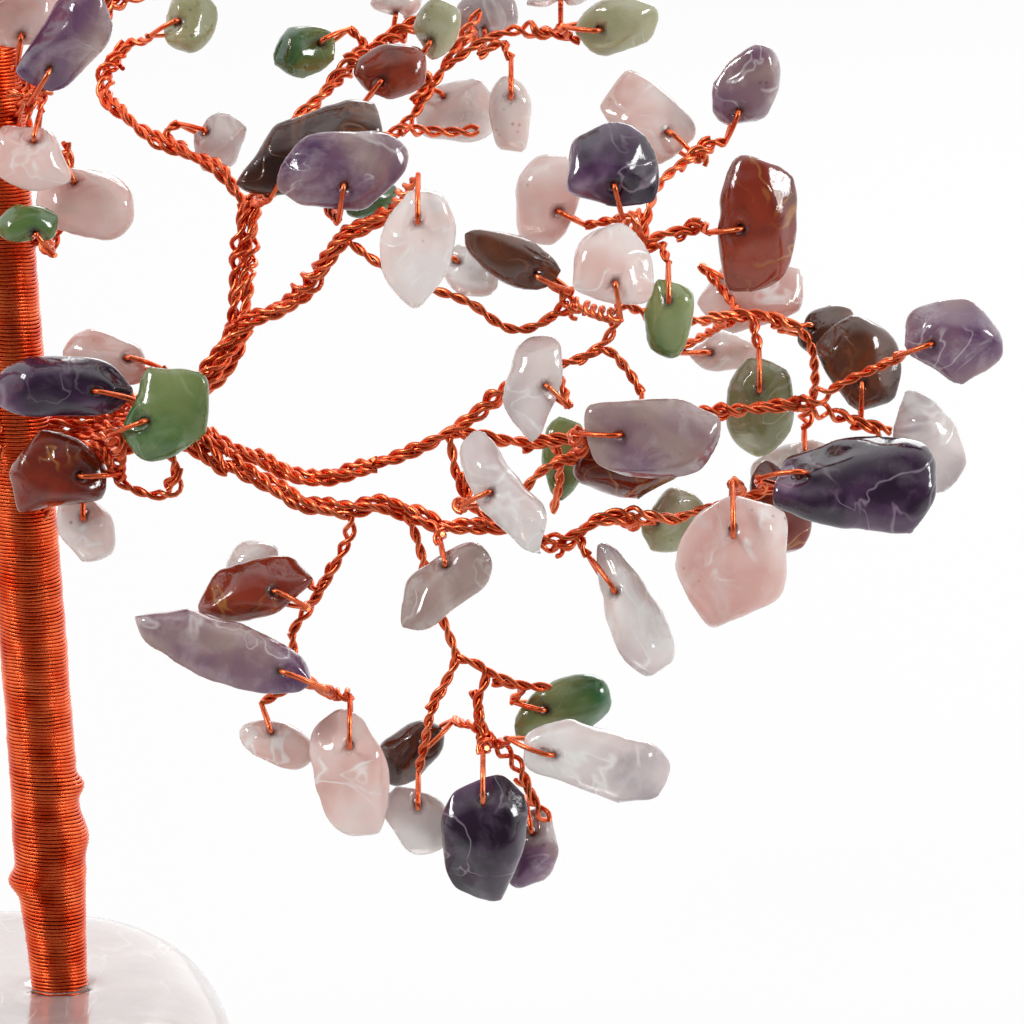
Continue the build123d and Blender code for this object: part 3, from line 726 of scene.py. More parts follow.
# Flats: leans in degrees and depths as shares of the reach, at the rim and on the faces
RIM_LEAN = (66, 90)
RIM_LIMIT = (0.8, 0.94)
FACE_LEAN = (14, 60)
FACE_LIMIT = (0.66, 0.88)
FLAT_STRENGTH = 0.92
# The size that a stone gets back after its flats, and the limits to that
FULLNESS = 1.06
GROWTH_LIMITS = (0.9, 1.25)
# Rounding: the strength of one step, and what is left of it where a drilled round is kept
RELAX_STRENGTH = 0.6
KEPT_STRENGTH = 0.03
# Bulk that rounding took and that is given back: at most this many faces deep, evened out, and what share
MOST_LOST = 1.4
BULK_STEPS = 16
BULK_SHARE = 0.85
# Waves: how many fine ones go to a coarse one, the height of both, and where the fine ones are read
FINE_SHARE = 2.4
COARSE_HEIGHT = 0.8
FINE_HEIGHT = 0.35
FINE_SHIFT = Vector((7, 3, 5))
# A drilled hole, in millimetres: how far it draws the stone, its first and final radius, and how far the
# painted shade inside it reaches and how soft its edge is
HOLE_REACH = 1.15
HOLE_RADIUS = 0.5
TIGHT_RADIUS = 0.24
HOLE_SHADE_REACH = 0.55
HOLE_SHADE_EDGE = 0.25


def shells(count, edges):
    """The number of the separate shell that each vertex belongs to."""
    label = np.arange(count)
    while True:
        low = np.minimum(label[edges[:, 0]], label[edges[:, 1]])
        new = label.copy()
        np.minimum.at(new, edges[:, 0], low)
        np.minimum.at(new, edges[:, 1], low)
        new = new[new]
        if (new == label).all():
            return label
        label = new


def relax(points, edges, times, strength=RELAX_STRENGTH):
    """Rounds edges by drawing each point towards the middle of its neighbours."""
    degree = np.zeros(len(points))
    np.add.at(degree, edges.ravel(), 1)
    for _ in range(times):
        total = np.zeros_like(points)
        np.add.at(total, edges[:, 0], points[edges[:, 1]])
        np.add.at(total, edges[:, 1], points[edges[:, 0]])
        points = points + (total / degree[:, None] - points) * strength
    return points


def blunted(local):
    """Wears the thin ends of a stone down to a rounded outline; its length lies along the last column."""
    low, high = local[:, 2].min(), local[:, 2].max()
    along = (local[:, 2] - low) / (high - low) * 2 - 1
    past = np.abs(along) - END_START
    along = np.where(past > 0, np.sign(along) * (END_START + past * END_LEFT), along)
    local[:, 2] = (along + 1) / 2 * (high - low) + low
    along /= np.abs(along).max()
    slots = np.clip(((along + 1) * SLICES / 2).astype(int), 0, SLICES - 1)
    left, right = np.full(SLICES, np.inf), np.full(SLICES, -np.inf)
    np.minimum.at(left, slots, local[:, 1])
    np.maximum.at(right, slots, local[:, 1])
    filled = right > left
    places = ((np.arange(SLICES) + 0.5) / SLICES * 2 - 1)[filled]
    middle = np.interp(along, places, (left[filled] + right[filled]) / 2)
    half = np.interp(along, places, (right[filled] - left[filled]) / 2)
    inner, outer = OUTLINE_POWERS
    aim = half.max() * (1 - np.abs(along) ** inner * OUTLINE_SHARE) ** outer
    wider = np.clip(1 + (aim / np.maximum(half, 1e-6) - 1) * OUTLINE_STRENGTH, *WIDER_LIMITS)
    local[:, 1] = middle + (local[:, 1] - middle) * wider
    local[:, 0] *= np.sqrt(wider)
    return local


def ground(stone, flats, swell):
    """One stone with swollen faces, and with flats ground into it at random."""
    middle = stone.mean(axis=0)
    chance = random.Random(int(sum(abs(middle)) * 1e6))
    axes = np.linalg.eigh(np.cov((stone - middle).T))[1]
    local = (stone - middle) @ axes
    reach = np.abs(local).max(axis=0)
    size = np.ptp(local, axis=0)
    if flats:
        local = blunted(local)
    round_share = np.clip((local[:, 1] / reach[1]) ** 2 + (local[:, 2] / reach[2]) ** 2, 0, 1)
    local[:, 0] *= 1 + swell * (1 - round_share)
    for flat in range(flats):
        at_rim = flat % 5 >= FACES_OF_FIVE
        lean = radians(chance.uniform(*(RIM_LEAN if at_rim else FACE_LEAN)))
        turn = chance.uniform(0, 2 * pi)
        way = np.array([cos(lean) * (1, -1)[flat % 2], sin(lean) * cos(turn), sin(lean) * sin(turn)])
        along = local @ way
        limit = along.max() * chance.uniform(*(RIM_LIMIT if at_rim else FACE_LIMIT))
        local = local - np.outer(np.maximum(along - limit, 0) * FLAT_STRENGTH, way)
    if flats:
        local *= np.clip(size * FULLNESS / np.ptp(local, axis=0), *GROWTH_LIMITS)
    return local @ axes.T + middle


def wave_at(point, grain):
    """Slight waves of two sizes at a point."""
    fine = noise.noise(point * grain * FINE_SHARE + FINE_SHIFT)
    return noise.noise(point * grain) * COARSE_HEIGHT + fine * FINE_HEIGHT


def tighten_holes(points, holes):
    """Draws the stone close round the wire in each hole, and gives how deep in a hole each point lies, as the
    level of the painted shade there.
    """
    drilled = np.zeros(len(points))
    for middle, way, half in holes:
        gap = points - np.array(middle)
        along = gap @ np.array(way)
        radial = gap - np.outer(along, np.array(way))
        away = np.linalg.norm(radial, axis=1)
        reach = HOLE_REACH * MM
        near = (np.abs(along) < half) & (away < reach)
        tight = np.interp(away, (0, HOLE_RADIUS * MM, reach), (0, TIGHT_RADIUS * MM, reach))
        points[near] += radial[near] * (tight[near] / np.maximum(away[near], 1e-9) - 1)[:, None]
        # Painted shade: the level that darkens the stone round the wire, inside the hole
        drilled = np.maximum(drilled, np.clip((HOLE_SHADE_REACH * MM - tight) / (HOLE_SHADE_EDGE * MM), 0, 1) * near)
    return drilled


def tumble(piece, cell, rounding, waves, grain, flats=0, swell=0.0, holes=(), kept_radius=None):
    """Gives stones their tumbled form: flats ground into them, rounded edges and slight waves."""
    modifier = piece.modifiers.new("Even faces", "REMESH")
    modifier.mode = "VOXEL"
    modifier.voxel_size = cell
    mesh = evaluated_mesh(piece)
    piece.modifiers.remove(modifier)
    piece.data = mesh
    points, edges = mesh_points(mesh)
    label = shells(len(points), edges)
    for start in np.unique(label):
        points[label == start] = ground(points[label == start], flats, swell)
    strength = RELAX_STRENGTH
    if kept_radius:
        away = np.linalg.norm(points[:, :2], axis=1)
        strength = RELAX_STRENGTH * np.clip((away - kept_radius) / kept_radius, KEPT_STRENGTH, 1)[:, None]
    rounded = relax(points, edges, rounding, strength)
    set_points(mesh, rounded)
    normals = np.empty(len(points) * 3)
    mesh.vertices.foreach_get("normal", normals)
    normals = normals.reshape(-1, 3)
    lost = np.clip(((points - rounded) * normals).sum(axis=1), 0, cell * MOST_LOST)
    bulk = relax(lost[:, None], edges, BULK_STEPS)[:, 0] * BULK_SHARE
    wave = np.array([wave_at(Vector(point), grain) for point in rounded]) * waves
    points = rounded + normals * (wave + bulk)[:, None]
    drilled = tighten_holes(points, holes)
    set_points(mesh, points)
    # The painted shade in the holes, kept for the material as a level on each point
    mesh.attributes.new("drilled", "FLOAT", "POINT").data.foreach_set("value", drilled)


# Materials; sizes in waves per metre

def new_material(name):
    """A new material, its node tree and its shader."""
    material = bpy.data.materials.new(name)
    material.use_nodes = True
    tree = material.node_tree
    return material, tree, next(node for node in tree.nodes if node.type == "BSDF_PRINCIPLED")


def object_noise(tree, scale, detail=3.0, roughness=0.55, distortion=0.0, stretch=None):
    """Noise on the piece's own place, stretched askew where asked."""
    place = result(tree, "ShaderNodeTexCoord", outputs="Object")
    if stretch:
        askew = {"Vector": place, "Scale": stretch, "Rotation": (0.5, 0.4, 0.9)}
        place = result(tree, "ShaderNodeMapping", askew)
    return result(tree, "ShaderNodeTexNoise", {"Vector": place, "Scale": scale, "Detail": detail,
                                               "Roughness": roughness, "Distortion": distortion}, "Fac")


def linear(red, green, blue):
    """A colour given as it shows on a screen, from 0 to 255."""
    return tuple(value / 255 / 12.92 if value <= 10 else ((value / 255 + 0.055) / 1.055) ** 2.4
                 for value in (red, green, blue))


def copper_material(name, colour, dark):
    """Lacquered copper wire: dark in patches, bright orange where it is rubbed, and finely scratched."""
    material, tree, shader = new_material(name)
    patches = object_noise(tree, 420.0, detail=4.0).fade(0.3, 0.7)
    fill(tree, shader, {
        "Base Color": patches.mix(dark, colour),
        "Metallic": 1.0,
        "Roughness": object_noise(tree, 2600.0).fade(0.3, 0.7, 0.2, 0.36),
        "Normal": object_noise(tree, 5200.0).bump(0.12, 0.0001),
    })
    return material


def glue_material():
    """Clear glue, faintly milky."""
    material, tree, shader = new_material("Clear glue")
    milk = object_noise(tree, 500.0)
    fill(tree, shader, {
        "Base Color": milk.ramp((0.3, linear(225, 205, 195)), (0.7, linear(240, 232, 226))),
        "Roughness": object_noise(tree, 900.0).fade(0.3, 0.7, 0.05, 0.2),
        "Transmission Weight": 0.6,
        "IOR": 1.5,
    })
    return material


def stone_material(name, stone):
    """Polished stone: clouds of a few colours, cracks and specks inside, under a wet-looking polish, and
    painted shade inside its drilled holes.
    """
    material, tree, shader = new_material(name)
    clouds = object_noise(tree, stone["clouds"], roughness=0.5, distortion=0.35)
    colour = clouds.ramp(*[(at, linear(*value)) for at, value in stone["colours"]])
    haze = object_noise(tree, 420.0, detail=5.0, roughness=0.62, distortion=0.5).fade(0.48, 0.72)
    colour = (haze * stone["haze"]).mix(colour, linear(*stone["haze_colour"]))
    bands = object_noise(tree, 210.0, detail=2.5, roughness=0.5, distortion=0.8, stretch=(1.0, 0.3, 1.0))
    places = object_noise(tree, 170.0, detail=2.0).fade(0.44, 0.56)
    cracks = (bands - 0.52).math("ABSOLUTE").fade(0.0, stone["vein_width"], 1.0, 0.0) * places
    colour = (cracks * stone["vein"]).mix(colour, linear(*stone["vein_colour"]))
    grains = {"Vector": result(tree, "ShaderNodeTexCoord", outputs="Object"), "Scale": 1300.0}
    dots = result(tree, "ShaderNodeTexVoronoi", grains, "Distance").fade(0.0, 0.25, 1.0, 0.0)
    dots = dots * object_noise(tree, 240.0, roughness=0.6).fade(0.57, 0.64) * stone["speck"]
    colour = dots.mix(colour, linear(*stone["speck_colour"]))
    # Painted shade: the stone is darkened inside its drilled holes, where the same level also makes it
    # rougher
    drilled = result(tree, "ShaderNodeAttribute", outputs="Fac", attribute_name="drilled")
    colour = (drilled * 0.9).mix(colour, linear(*stone["hole_colour"]))
    rough = object_noise(tree, 700.0, detail=4.0).fade(0.35, 0.75, stone["rough"], stone["rough"] + 0.12)
    height = object_noise(tree, 1500.0) * 0.25 + cracks * -0.35 + object_noise(tree, 330.0, detail=2.0)
    fill(tree, shader, {
        "Base Color": colour,
        "Roughness": drilled.mix(rough, 0.7, "FLOAT"),
        "Normal": height.bump(stone["bump"], 0.0004),
        "Coat Weight": 0.55,
        "Coat Roughness": 0.03,
        "IOR": 1.54,
        "Transmission Weight": stone["clear"],
        "Subsurface Weight": stone["soft"],
        "Subsurface Radius": (1.0, 0.85, 0.8),
        "Subsurface Scale": 0.0012,
    })
    return material


# A stone's hole colour is the painted shade inside its drilled holes
plain_stone = {
    "haze": 0.3, "haze_colour": (236, 228, 226), "vein": 0.4, "vein_colour": (244, 240, 238),
    "vein_width": 0.02, "speck_colour": (60, 40, 45), "hole_colour": (60, 45, 45), "rough": 0.05,
    "soft": 0.5, "bump": 0.22, "clouds": 95.0,
}


def stone_kind(*colours, **changes):
    """A kind of stone: its colours at levels of the clouds, and how else it differs from a plain one."""
    return {**plain_stone, "colours": colours, **changes}


stone_kinds = {
    "rose_quartz": stone_kind(
        (0.36, (226, 180, 170)), (0.46, (240, 208, 200)), (0.54, (246, 226, 220)), (0.64, (252, 243, 240)),
        haze=0.5, vein=0.85, vein_colour=(255, 252, 250), vein_width=0.03, speck=0.8,
        speck_colour=(150, 72, 52), clear=0.2, hole_colour=(120, 85, 78)),
    "quartz": stone_kind(
        (0.36, (192, 180, 184)), (0.46, (224, 210, 208)), (0.54, (242, 232, 228)), (0.64, (252, 248, 245)),
        haze=0.5, vein=0.8, vein_colour=(255, 254, 252), vein_width=0.03, speck=0.7,
        speck_colour=(110, 85, 75), clear=0.3, soft=0.4, hole_colour=(110, 90, 88)),
    "smoky_quartz": stone_kind(
        (0.3, (146, 120, 112)), (0.5, (178, 154, 146)), (0.7, (202, 188, 180)),
        vein=0.3, speck=0.7, clear=0.22, soft=0.4),
    "lilac_amethyst": stone_kind(
        (0.36, (94, 58, 98)), (0.46, (122, 88, 112)), (0.54, (142, 112, 120)), (0.63, (164, 140, 134)),
        haze=0.4, haze_colour=(208, 194, 200), speck=0.6, clear=0.08, soft=0.45, clouds=120.0),
    "deep_amethyst": stone_kind(
        (0.38, (28, 8, 32)), (0.5, (44, 20, 48)), (0.58, (82, 52, 84)), (0.66, (138, 110, 134)),
        haze=0.22, haze_colour=(150, 128, 154), vein=0.45, vein_colour=(186, 168, 184), speck=0.8,
        speck_colour=(24, 10, 24), hole_colour=(20, 10, 24), clear=0.05, soft=0.25, clouds=130.0),
    "aventurine": stone_kind(
        (0.36, (44, 98, 52)), (0.47, (94, 118, 62)), (0.56, (130, 144, 88)), (0.66, (158, 170, 120)),
        haze_colour=(160, 180, 140), vein=0.2, vein_colour=(180, 205, 170), speck=0.7,
        speck_colour=(24, 70, 44), hole_colour=(20, 50, 30), soft=0.4, clear=0.06),
    "prehnite": stone_kind(
        (0.3, (140, 144, 96)), (0.5, (168, 172, 126)), (0.7, (196, 194, 162)),
        vein=0.35, speck=0.6, speck_colour=(70, 75, 50), hole_colour=(70, 70, 45), clear=0.18),
    "red_jasper": stone_kind(
        (0.32, (74, 18, 10)), (0.5, (122, 36, 18)), (0.68, (146, 56, 30)),
        haze=0.55, haze_colour=(58, 20, 14), vein=0.75, vein_colour=(176, 118, 56), vein_width=0.026,
        speck=0.6, clear=0.0, hole_colour=(20, 8, 6), soft=0.05, bump=0.4),
    "brown_jasper": stone_kind(
        (0.32, (46, 20, 12)), (0.5, (80, 40, 24)), (0.68, (112, 62, 38)),
        haze=0.5, haze_colour=(38, 18, 12), vein=0.5, vein_colour=(140, 86, 50), vein_width=0.03,
        speck=0.6, clear=0.0, hole_colour=(16, 8, 6), soft=0.05, bump=0.4),
    "base_rose_quartz": stone_kind(
        (0.36, (202, 187, 184)), (0.5, (213, 200, 197)), (0.64, (222, 212, 209)),
        haze=0.35, vein=0.5, speck=0.2, speck_colour=(170, 140, 135), clear=0.05, soft=0.6, bump=0.08,
        clouds=45.0, rough=0.1),
}


@cache
def material_of(name):
    """The material of that name, made when it is first asked for."""
    colours = bpy.context.scene.gem_tree_colours
    if name == "copper":
        return copper_material("Copper wire", colours.copper, colours.dark_copper)
    if name == "winding":
        return copper_material("Fine copper wire", colours.winding, colours.dark_winding)
    if name == "glue":
        return glue_material()
    return stone_material(name.replace("_", " ").capitalize(), stone_kinds[name])


# What a user may change

def length_property(name, description, default):
    return FloatProperty(name=name, description=description, default=default, unit="LENGTH")


def colour_property(name, description, default):
    return FloatVectorProperty(name=name, description=description, default=default, subtype="COLOR")


class GemTreeSizes(bpy.types.PropertyGroup):
    """Sizes of the wire and the stones."""
    wire_radius: length_property("Wire radius", "Radius of one wire of a twisted pair", 0.0002)
    pair_pitch: length_property("Pair pitch", "Length of one full twist of a pair", 0.0029)
    bundle_pitch: length_property("Bundle pitch", "Length of one full twist of a thick branch", 0.012)
    waviness: length_property("Waviness", "How far the branches wander", 0.0011)
    winding_wire_radius: length_property("Winding wire radius", "Radius of the trunk's fine wire", 0.00014)
    chip_cell: length_property("Chip mesh size", "Face size of the chips' meshes", 0.00027)
    base_cell: length_property("Base mesh size", "Face size of the base's mesh", 0.0008)
    chip_rounding: IntProperty(name="Chip rounding", description="How far the chips are rounded", default=22)


class GemTreeColours(bpy.types.PropertyGroup):
    """Colours of the wire and the setting."""
    copper: colour_property("Copper", "Colour of rubbed copper", linear(240, 130, 86))
    dark_copper: colour_property("Dark copper", "Colour of dull copper", linear(212, 80, 40))
    winding: colour_property("Winding", "Colour of the trunk's fine wire", linear(244, 120, 68))
    dark_winding: colour_property("Dark winding", "Colour of dull fine wire", linear(204, 58, 20))
    floor: colour_property("Floor", "Colour of the floor", (0.88, 0.88, 0.88))


# The pieces

# The stem inside the winding: height above the base and radius, in millimetres
SLEEVE_RINGS = ((-11.6, 1.75), (0, 1.95), (4, 2.05), (8, 2.4), (16, 2.4), (72, 2.2), (76, 1.7), (77.8, 1.0))
SLEEVE_SIDES = 32
# The close winding: pitch as a share of the wire's radius
WINDING_PITCH = 2.04
# How far it starts below the base's top, and how much longer than the trunk it is counted, in metres
WINDING_SINK = 0.0004
WINDING_SPARE = 0.0005
# Lengths along the routes' wires, in metres
BRANCH_STEP = 0.00024
TWIG_STEP = 0.00022
EYE_STEP = 0.0002
TWIG_PITCH_SHARE = 0.85
# How the base and the chips are tumbled: waves' height in metres and waves per metre, flats and swelling
BASE_TUMBLE = {"rounding": 150, "waves": 0.0005, "grain": 26, "kept_radius": 0.0036}
CHIP_TUMBLE = {"waves": 0.0004, "grain": 230, "flats": 18, "swell": 0.38}
# Twigs and eyes, in millimetres
NECK_SHORTER = 0.7
TWIG_ROOT = 2.2
FIXED_CLEARANCE = 0.12
HANGING_CLEARANCE = 0.8
# A twig's bow: where it is and how far it can go, as shares of the twig's length
BOW_PLACE = 0.45
BOW_REACH = 0.14
# An eye's way past a chip's rim: beyond it in millimetres, and height as a share of half the thickness
EYE_PAST_RIM = ((0.15, 0.62), (-0.6, 0.9))
# Its bend into the hole, in millimetres above it, and the height where it is inside
EYE_BEND = 0.3
EYE_INSIDE = 0.3


def sleeve_object():
    """The stem that the fine wire is wound on: a closed tube that leans with the trunk."""
    spots, faces = [], []
    for height, radius in SLEEVE_RINGS:
        for step in range(SLEEVE_SIDES):
            angle = step * 2 * pi / SLEEVE_SIDES
            across = radius * cos(angle) - height * tan(radians(TRUNK_LEAN))
            spots.append(Vector((across, radius * sin(angle), height + BASE_HEIGHT)) * MM)
    for low in range(0, len(spots) - SLEEVE_SIDES, SLEEVE_SIDES):
        high = low + SLEEVE_SIDES
        for step in range(SLEEVE_SIDES):
            after = (step + 1) % SLEEVE_SIDES
            faces.append((low + step, low + after, high + after, high + step))
    faces.append(tuple(reversed(range(SLEEVE_SIDES))))
    faces.append(tuple(range(len(spots) - SLEEVE_SIDES, len(spots))))
    mesh = bpy.data.meshes.new("trunk_sleeve")
    mesh.from_pydata(spots, [], faces)
    return placed("trunk_sleeve", mesh)


def twig_route(number, chip, neck, routes):
    """A twig's way from inside its branch to the neck of the chip's eye, with a slight bow."""
    chance = random.Random(number * 7 + len(chip.limb))
    start, rootward = branch_side(neck, routes)
    run = neck - start
    side = run.cross(Vector((chance.uniform(-1, 1), chance.uniform(-1, 1), 1))).normalized()
    bow = start + run * BOW_PLACE + side * run.length * chance.uniform(-BOW_REACH, BOW_REACH)
    return [start + rootward * TWIG_ROOT, start, bow, neck]


def eye_route(chip, neck, wire):
    """An eye's way from the neck over the chip's face, through its hole and back behind it."""
    half = chip.thickness / 2
    clear = wire + (HANGING_CLEARANCE if chip.hanging else FIXED_CLEARANCE)
    front = [(chip.middle + chip.eye_way * (chip.rim + past), half * share + clear)
             for past, share in EYE_PAST_RIM]
    front += [(chip.hole + chip.eye_way * EYE_BEND, half + clear), (chip.hole, half * EYE_INSIDE)]
    back = [(place, -out) for place, out in reversed(front)]
    return [neck, *[chip.spot(*side) for side in front + back], neck]


class GEMTREE_OT_base(bpy.types.Operator):
    """Make the polished base stone and the glue in its socket"""
    bl_idname = "gemtree.base"
    bl_label = "Base stone"

    def execute(self, context):
        piece = merged_copy("base_stone", "base_stone_polished")
        tumble(piece, context.scene.gem_tree_sizes.base_cell, **BASE_TUMBLE)
        dress(piece, material_of("base_rose_quartz"), "base_rose_quartz", TREE, "base_stone")
        glue = frame["nodes"]["socket_glue"]
        glue.data.materials.clear()
        glue.data.materials.append(material_of("glue"))
        return {"FINISHED"}


class GEMTREE_OT_trunk(bpy.types.Operator):
    """Wind fine wire round the trunk"""
    bl_idname = "gemtree.trunk"
    bl_label = "Trunk winding"

    def execute(self, context):
        wire = context.scene.gem_tree_sizes.winding_wire_radius
        turns = (TRUNK_HEIGHT * MM + WINDING_SPARE) / (WINDING_PITCH * wire)
        piece = grown_mesh("trunk_fine_winding", sleeve_object(), close_winding_tree(), {
            "Turns": turns, "Height": TRUNK_HEIGHT * MM, "Foot": BASE_HEIGHT * MM - WINDING_SINK,
            "Trunk Radius": TRUNK_RADIUS * MM, "Wire Radius": wire, "Lean": tan(radians(TRUNK_LEAN)),
            "Material": material_of("winding")})
        dress(piece, material_of("winding"), "copper_wire", TREE, "trunk_wrap", "trunk_winding")
        core = frame["nodes"]["trunk_core"]
        core.data.materials.clear()
        core.data.materials.append(material_of("copper"))
        return {"FINISHED"}


class GEMTREE_OT_limbs(bpy.types.Operator):
    """Twist the wires of each limb's branches"""
    bl_idname = "gemtree.limbs"
    bl_label = "Branches"

    def execute(self, context):
        sizes = context.scene.gem_tree_sizes
        tree = twisted_wire_tree()
        for limb, routes in branches.items():
            source = routes_object([rooted(number, routes) for number in range(len(routes))])
            piece = grown_mesh("branches_" + limb, source, tree, {
                "Wire Radius": sizes.wire_radius, "Pair Pitch": sizes.pair_pitch,
                "Bundle Pitch": sizes.bundle_pitch, "Step": BRANCH_STEP, "Waviness": sizes.waviness,
                "Material": material_of("copper")})
            dress(piece, material_of("copper"), "copper_wire", TREE, "limb_" + limb)
        return {"FINISHED"}


class GEMTREE_OT_twigs(bpy.types.Operator):
    """Lead a twisted pair to each chip and bend its eye through the chip"""
    bl_idname = "gemtree.twigs"
    bl_label = "Twigs and eyes"

    def execute(self, context):
        sizes = context.scene.gem_tree_sizes
        wire = sizes.wire_radius / MM
        pair_tree, wire_tree = twisted_wire_tree(), single_wire_tree()
        for limb, routes in branches.items():
            pairs, eyes = [], []
            for number, chip in enumerate(chip for chip in chips if chip.limb == limb):
                neck = chip.spot(chip.middle + chip.eye_way * (chip.rim + NECK_LENGTH - NECK_SHORTER))
                pairs.append((wire, twig_route(number, chip, neck, routes)))
                eyes.append((1.0, eye_route(chip, neck, wire)))
            twisted = grown_mesh("pairs", routes_object(pairs), pair_tree, {
                "Wire Radius": sizes.wire_radius, "Pair Pitch": sizes.pair_pitch * TWIG_PITCH_SHARE,
                "Bundle Pitch": sizes.bundle_pitch, "Step": TWIG_STEP, "Waviness": 0.0,
                "Material": material_of("copper")})
            loops = grown_mesh("eyes", routes_object(eyes), wire_tree, {
                "Wire Radius": sizes.wire_radius, "Step": EYE_STEP, "Material": material_of("copper")})
            piece = join_pieces("twigs_wire_" + limb, [twisted, loops])
            dress(piece, material_of("copper"), "copper_wire", TREE, "twigs_" + limb)
        return {"FINISHED"}


class GEMTREE_OT_chips(bpy.types.Operator):
    """Tumble the drilled chips, fixed and hanging"""
    bl_idname = "gemtree.chips"
    bl_label = "Stone chips"

    def execute(self, context):
        sizes = context.scene.gem_tree_sizes
        holes = [(chip.spot(chip.hole) * MM, chip.facing, chip.thickness * MM) for chip in chips]
        bodies = frame["record"]["behaviour"]["bodies"]
        body_of = {node: body for body, nodes in bodies.items() for node in nodes}
        for node in sorted(frame["nodes"]):
            stone = next((kind for kind in stone_kinds
                          if node.startswith((kind + "_chips", "hanging_" + kind))), None)
            if stone is None:
                continue
            piece = merged_copy(node, node.replace("_chips", "") + "_tumbled")
            low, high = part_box(node)
            own = [hole for hole in holes
                   if all(low[axis] - MM < hole[0][axis] < high[axis] + MM for axis in range(3))]
            tumble(piece, sizes.chip_cell, sizes.chip_rounding, holes=own, **CHIP_TUMBLE)
            dress(piece, material_of(stone), stone, body_of[node], node)
        return {"FINISHED"}


# The stage, in metres and watts

WHITE = (1.0, 1.0, 1.0)
FLOOR_REACH = 4.0
# The share of white that the floor shows, and the place and level where gloss sees it darkest
FLOOR_SHOWN = 0.84
DARK_FRONT = -0.2
DARK_LEVEL = 0.12
# The world's light on the tree, and the brightness of the room in its gloss
WORLD_LIGHT = 0.34
WORLD_SHEEN = 1.35
LAMP_TARGET = (0.02, 0, 0.07)
# Lamps: name, place, size and power
LAMPS = (
    ("key", (-0.6, -0.38, 0.6), 0.24, 3.8),
    ("fill", (0.7, -0.28, 0.35), 0.24, 2.6),
    ("back", (0.2, 0.6, 0.5), 0.4, 2.0),
)
# The camera's sensor in millimetres, and its nearest and farthest sight
SENSOR_WIDTH = 36.0
SIGHT = (0.05, 20.0)


def ray_kinds(tree):
    """Whether a ray comes from the camera, whether off gloss and whether through a clear piece."""
    kinds = "Is Camera Ray", "Is Glossy Ray", "Is Transmission Ray"
    return result(tree, "ShaderNodeLightPath", outputs=kinds)


def behind_of(tree, output):
    """How far a place or a direction lies behind the tree, by this output of the texture coordinates."""
    place = result(tree, "ShaderNodeTexCoord", outputs=output)
    return result(tree, "ShaderNodeSeparateXYZ", {0: place}, 1)


def floor_material(colour):
    """A floor that looks white and still takes shadows; gloss sees it darker in front of the tree."""
    material, tree, shader = new_material("Pale floor")
    fill(tree, shader, {"Roughness": 0.6, "Base Color": colour})
    camera, gloss, clear = ray_kinds(tree)
    shown = camera.math("MAXIMUM", gloss.math("MAXIMUM", clear))
    behind = behind_of(tree, "Object")
    front = result(tree, "ShaderNodeMapRange", {0: behind, 1: DARK_FRONT, 2: 0.0, 3: DARK_LEVEL, 4: 1.0})
    glow = result(tree, "ShaderNodeEmission", {"Color": WHITE, "Strength": gloss.mix(1.0, front, "FLOAT")})
    blend = result(tree, "ShaderNodeMixShader", {0: shown * FLOOR_SHOWN, 1: shader.outputs[0], 2: glow})
    output = next(node for node in tree.nodes if node.type == "OUTPUT_MATERIAL")
    fill(tree, output, {"Surface": blend})
    return material


def studio_world():
    """White for the camera, soft light for the tree, and a room that is dark in front for its gloss."""
    world = bpy.data.worlds.new("Studio")
    world.use_nodes = True
    tree = world.node_tree
    camera, gloss, clear = ray_kinds(tree)
    shown = camera.math("MAXIMUM", gloss.math("MAXIMUM", clear))
    room = (behind_of(tree, "Generated") * 0.5 + 0.5).fade(0.12, 0.42, 0.1, 1.0) * WORLD_SHEEN
    level = camera.math("MAXIMUM", clear).mix(room, 1.0, "FLOAT")
    background = next(node for node in tree.nodes if node.type == "BACKGROUND")
    fill(tree, background, {"Color": WHITE, "Strength": shown.mix(WORLD_LIGHT, level, "FLOAT")})
    return world


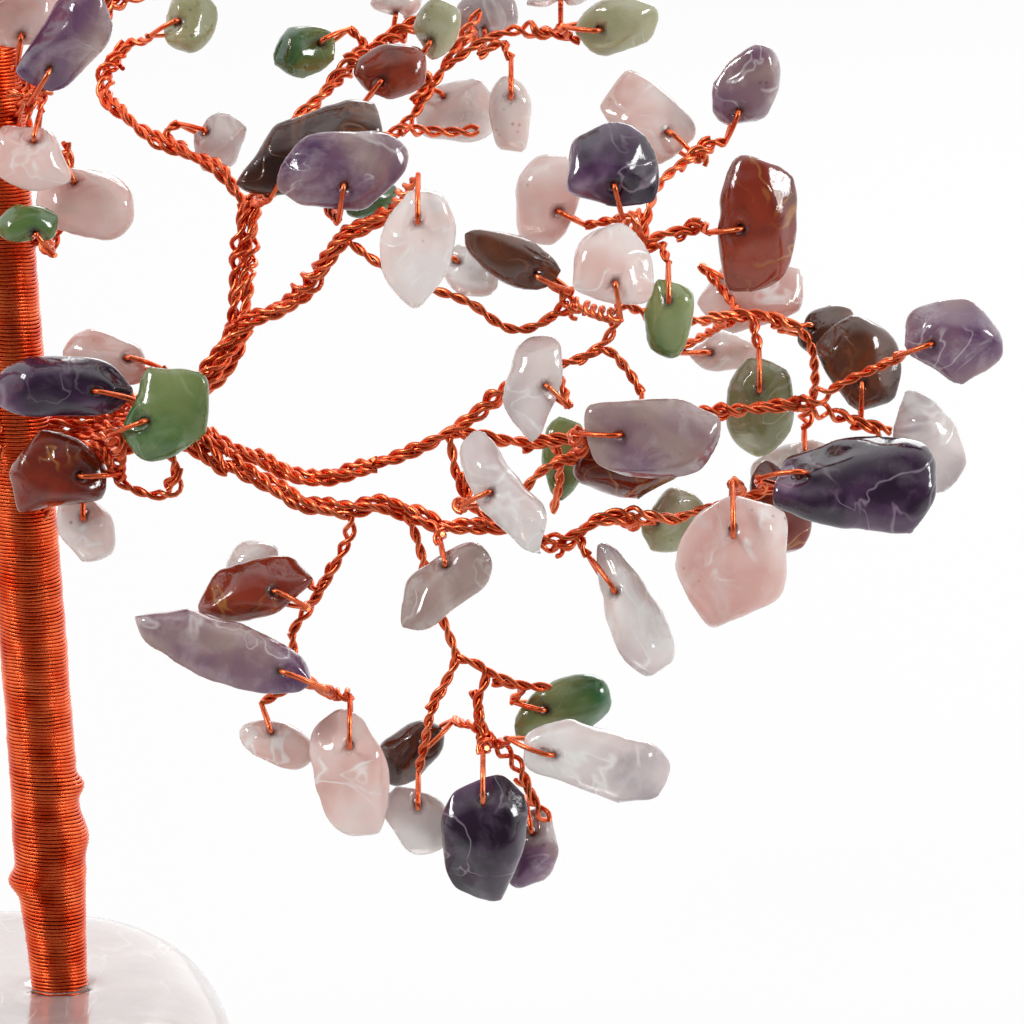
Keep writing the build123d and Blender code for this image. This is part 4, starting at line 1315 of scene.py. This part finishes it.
class GEMTREE_OT_stage(bpy.types.Operator):
    """Set up the floor, the soft light and the camera"""
    bl_idname = "gemtree.stage"
    bl_label = "Stage"

    def execute(self, context):
        scene = context.scene
        corners = [(x * FLOOR_REACH, y * FLOOR_REACH, 0) for x, y in ((-1, -1), (1, -1), (1, 1), (-1, 1))]
        mesh = bpy.data.meshes.new("floor")
        mesh.from_pydata(corners, [], [(0, 1, 2, 3)])
        mesh.materials.append(floor_material(scene.gem_tree_colours.floor))
        floor = placed("floor", mesh)
        scene.world = studio_world()
        for name, place, size, power in LAMPS:
            lamp = bpy.data.lights.new(name, "AREA")
            lamp.size = size
            lamp.energy = power
            light = placed(name, lamp)
            light.location = place
            light.rotation_euler = (Vector(LAMP_TARGET) - Vector(place)).to_track_quat("-Z", "Y").to_euler()
        data = bpy.data.cameras.new("camera")
        data.sensor_width = SENSOR_WIDTH
        data.lens = SENSOR_WIDTH * VIEW_DISTANCE / VIEW_WIDTH
        data.clip_start, data.clip_end = SIGHT
        camera = placed("camera", data)
        camera.location = (view_middle - view_forward * VIEW_DISTANCE) * MM
        camera.rotation_euler = (radians(90 - VIEW_ELEVATION), 0, 0)
        scene.camera = camera
        scene.view_settings.view_transform = "Standard"
        return {"FINISHED"}


class GEMTREE_PT_panel(bpy.types.Panel):
    """The gemstone tree's sizes, colours and steps"""
    bl_label = "Gemstone Tree"
    bl_idname = "GEMTREE_PT_panel"
    bl_space_type = "VIEW_3D"
    bl_region_type = "UI"
    bl_category = "Gemstone Tree"

    def draw(self, context):
        for group in (context.scene.gem_tree_sizes, context.scene.gem_tree_colours):
            for name in group.__annotations__:
                self.layout.prop(group, name)
        for operator in operators:
            self.layout.operator(operator.bl_idname)


operators = (GEMTREE_OT_base, GEMTREE_OT_trunk, GEMTREE_OT_limbs, GEMTREE_OT_twigs, GEMTREE_OT_chips,
             GEMTREE_OT_stage)
classes = (GemTreeSizes, GemTreeColours, *operators, GEMTREE_PT_panel)


def register():
    for item in classes:
        bpy.utils.register_class(item)
    bpy.types.Scene.gem_tree_sizes = PointerProperty(type=GemTreeSizes)
    bpy.types.Scene.gem_tree_colours = PointerProperty(type=GemTreeColours)


def unregister():
    del bpy.types.Scene.gem_tree_colours
    del bpy.types.Scene.gem_tree_sizes
    for item in reversed(classes):
        bpy.utils.unregister_class(item)


def main():
    register()
    bpy.ops.gemtree.base()
    bpy.ops.gemtree.trunk()
    bpy.ops.gemtree.limbs()
    bpy.ops.gemtree.twigs()
    bpy.ops.gemtree.chips()
    bpy.ops.gemtree.stage()


if __name__ == "__main__":
    main()
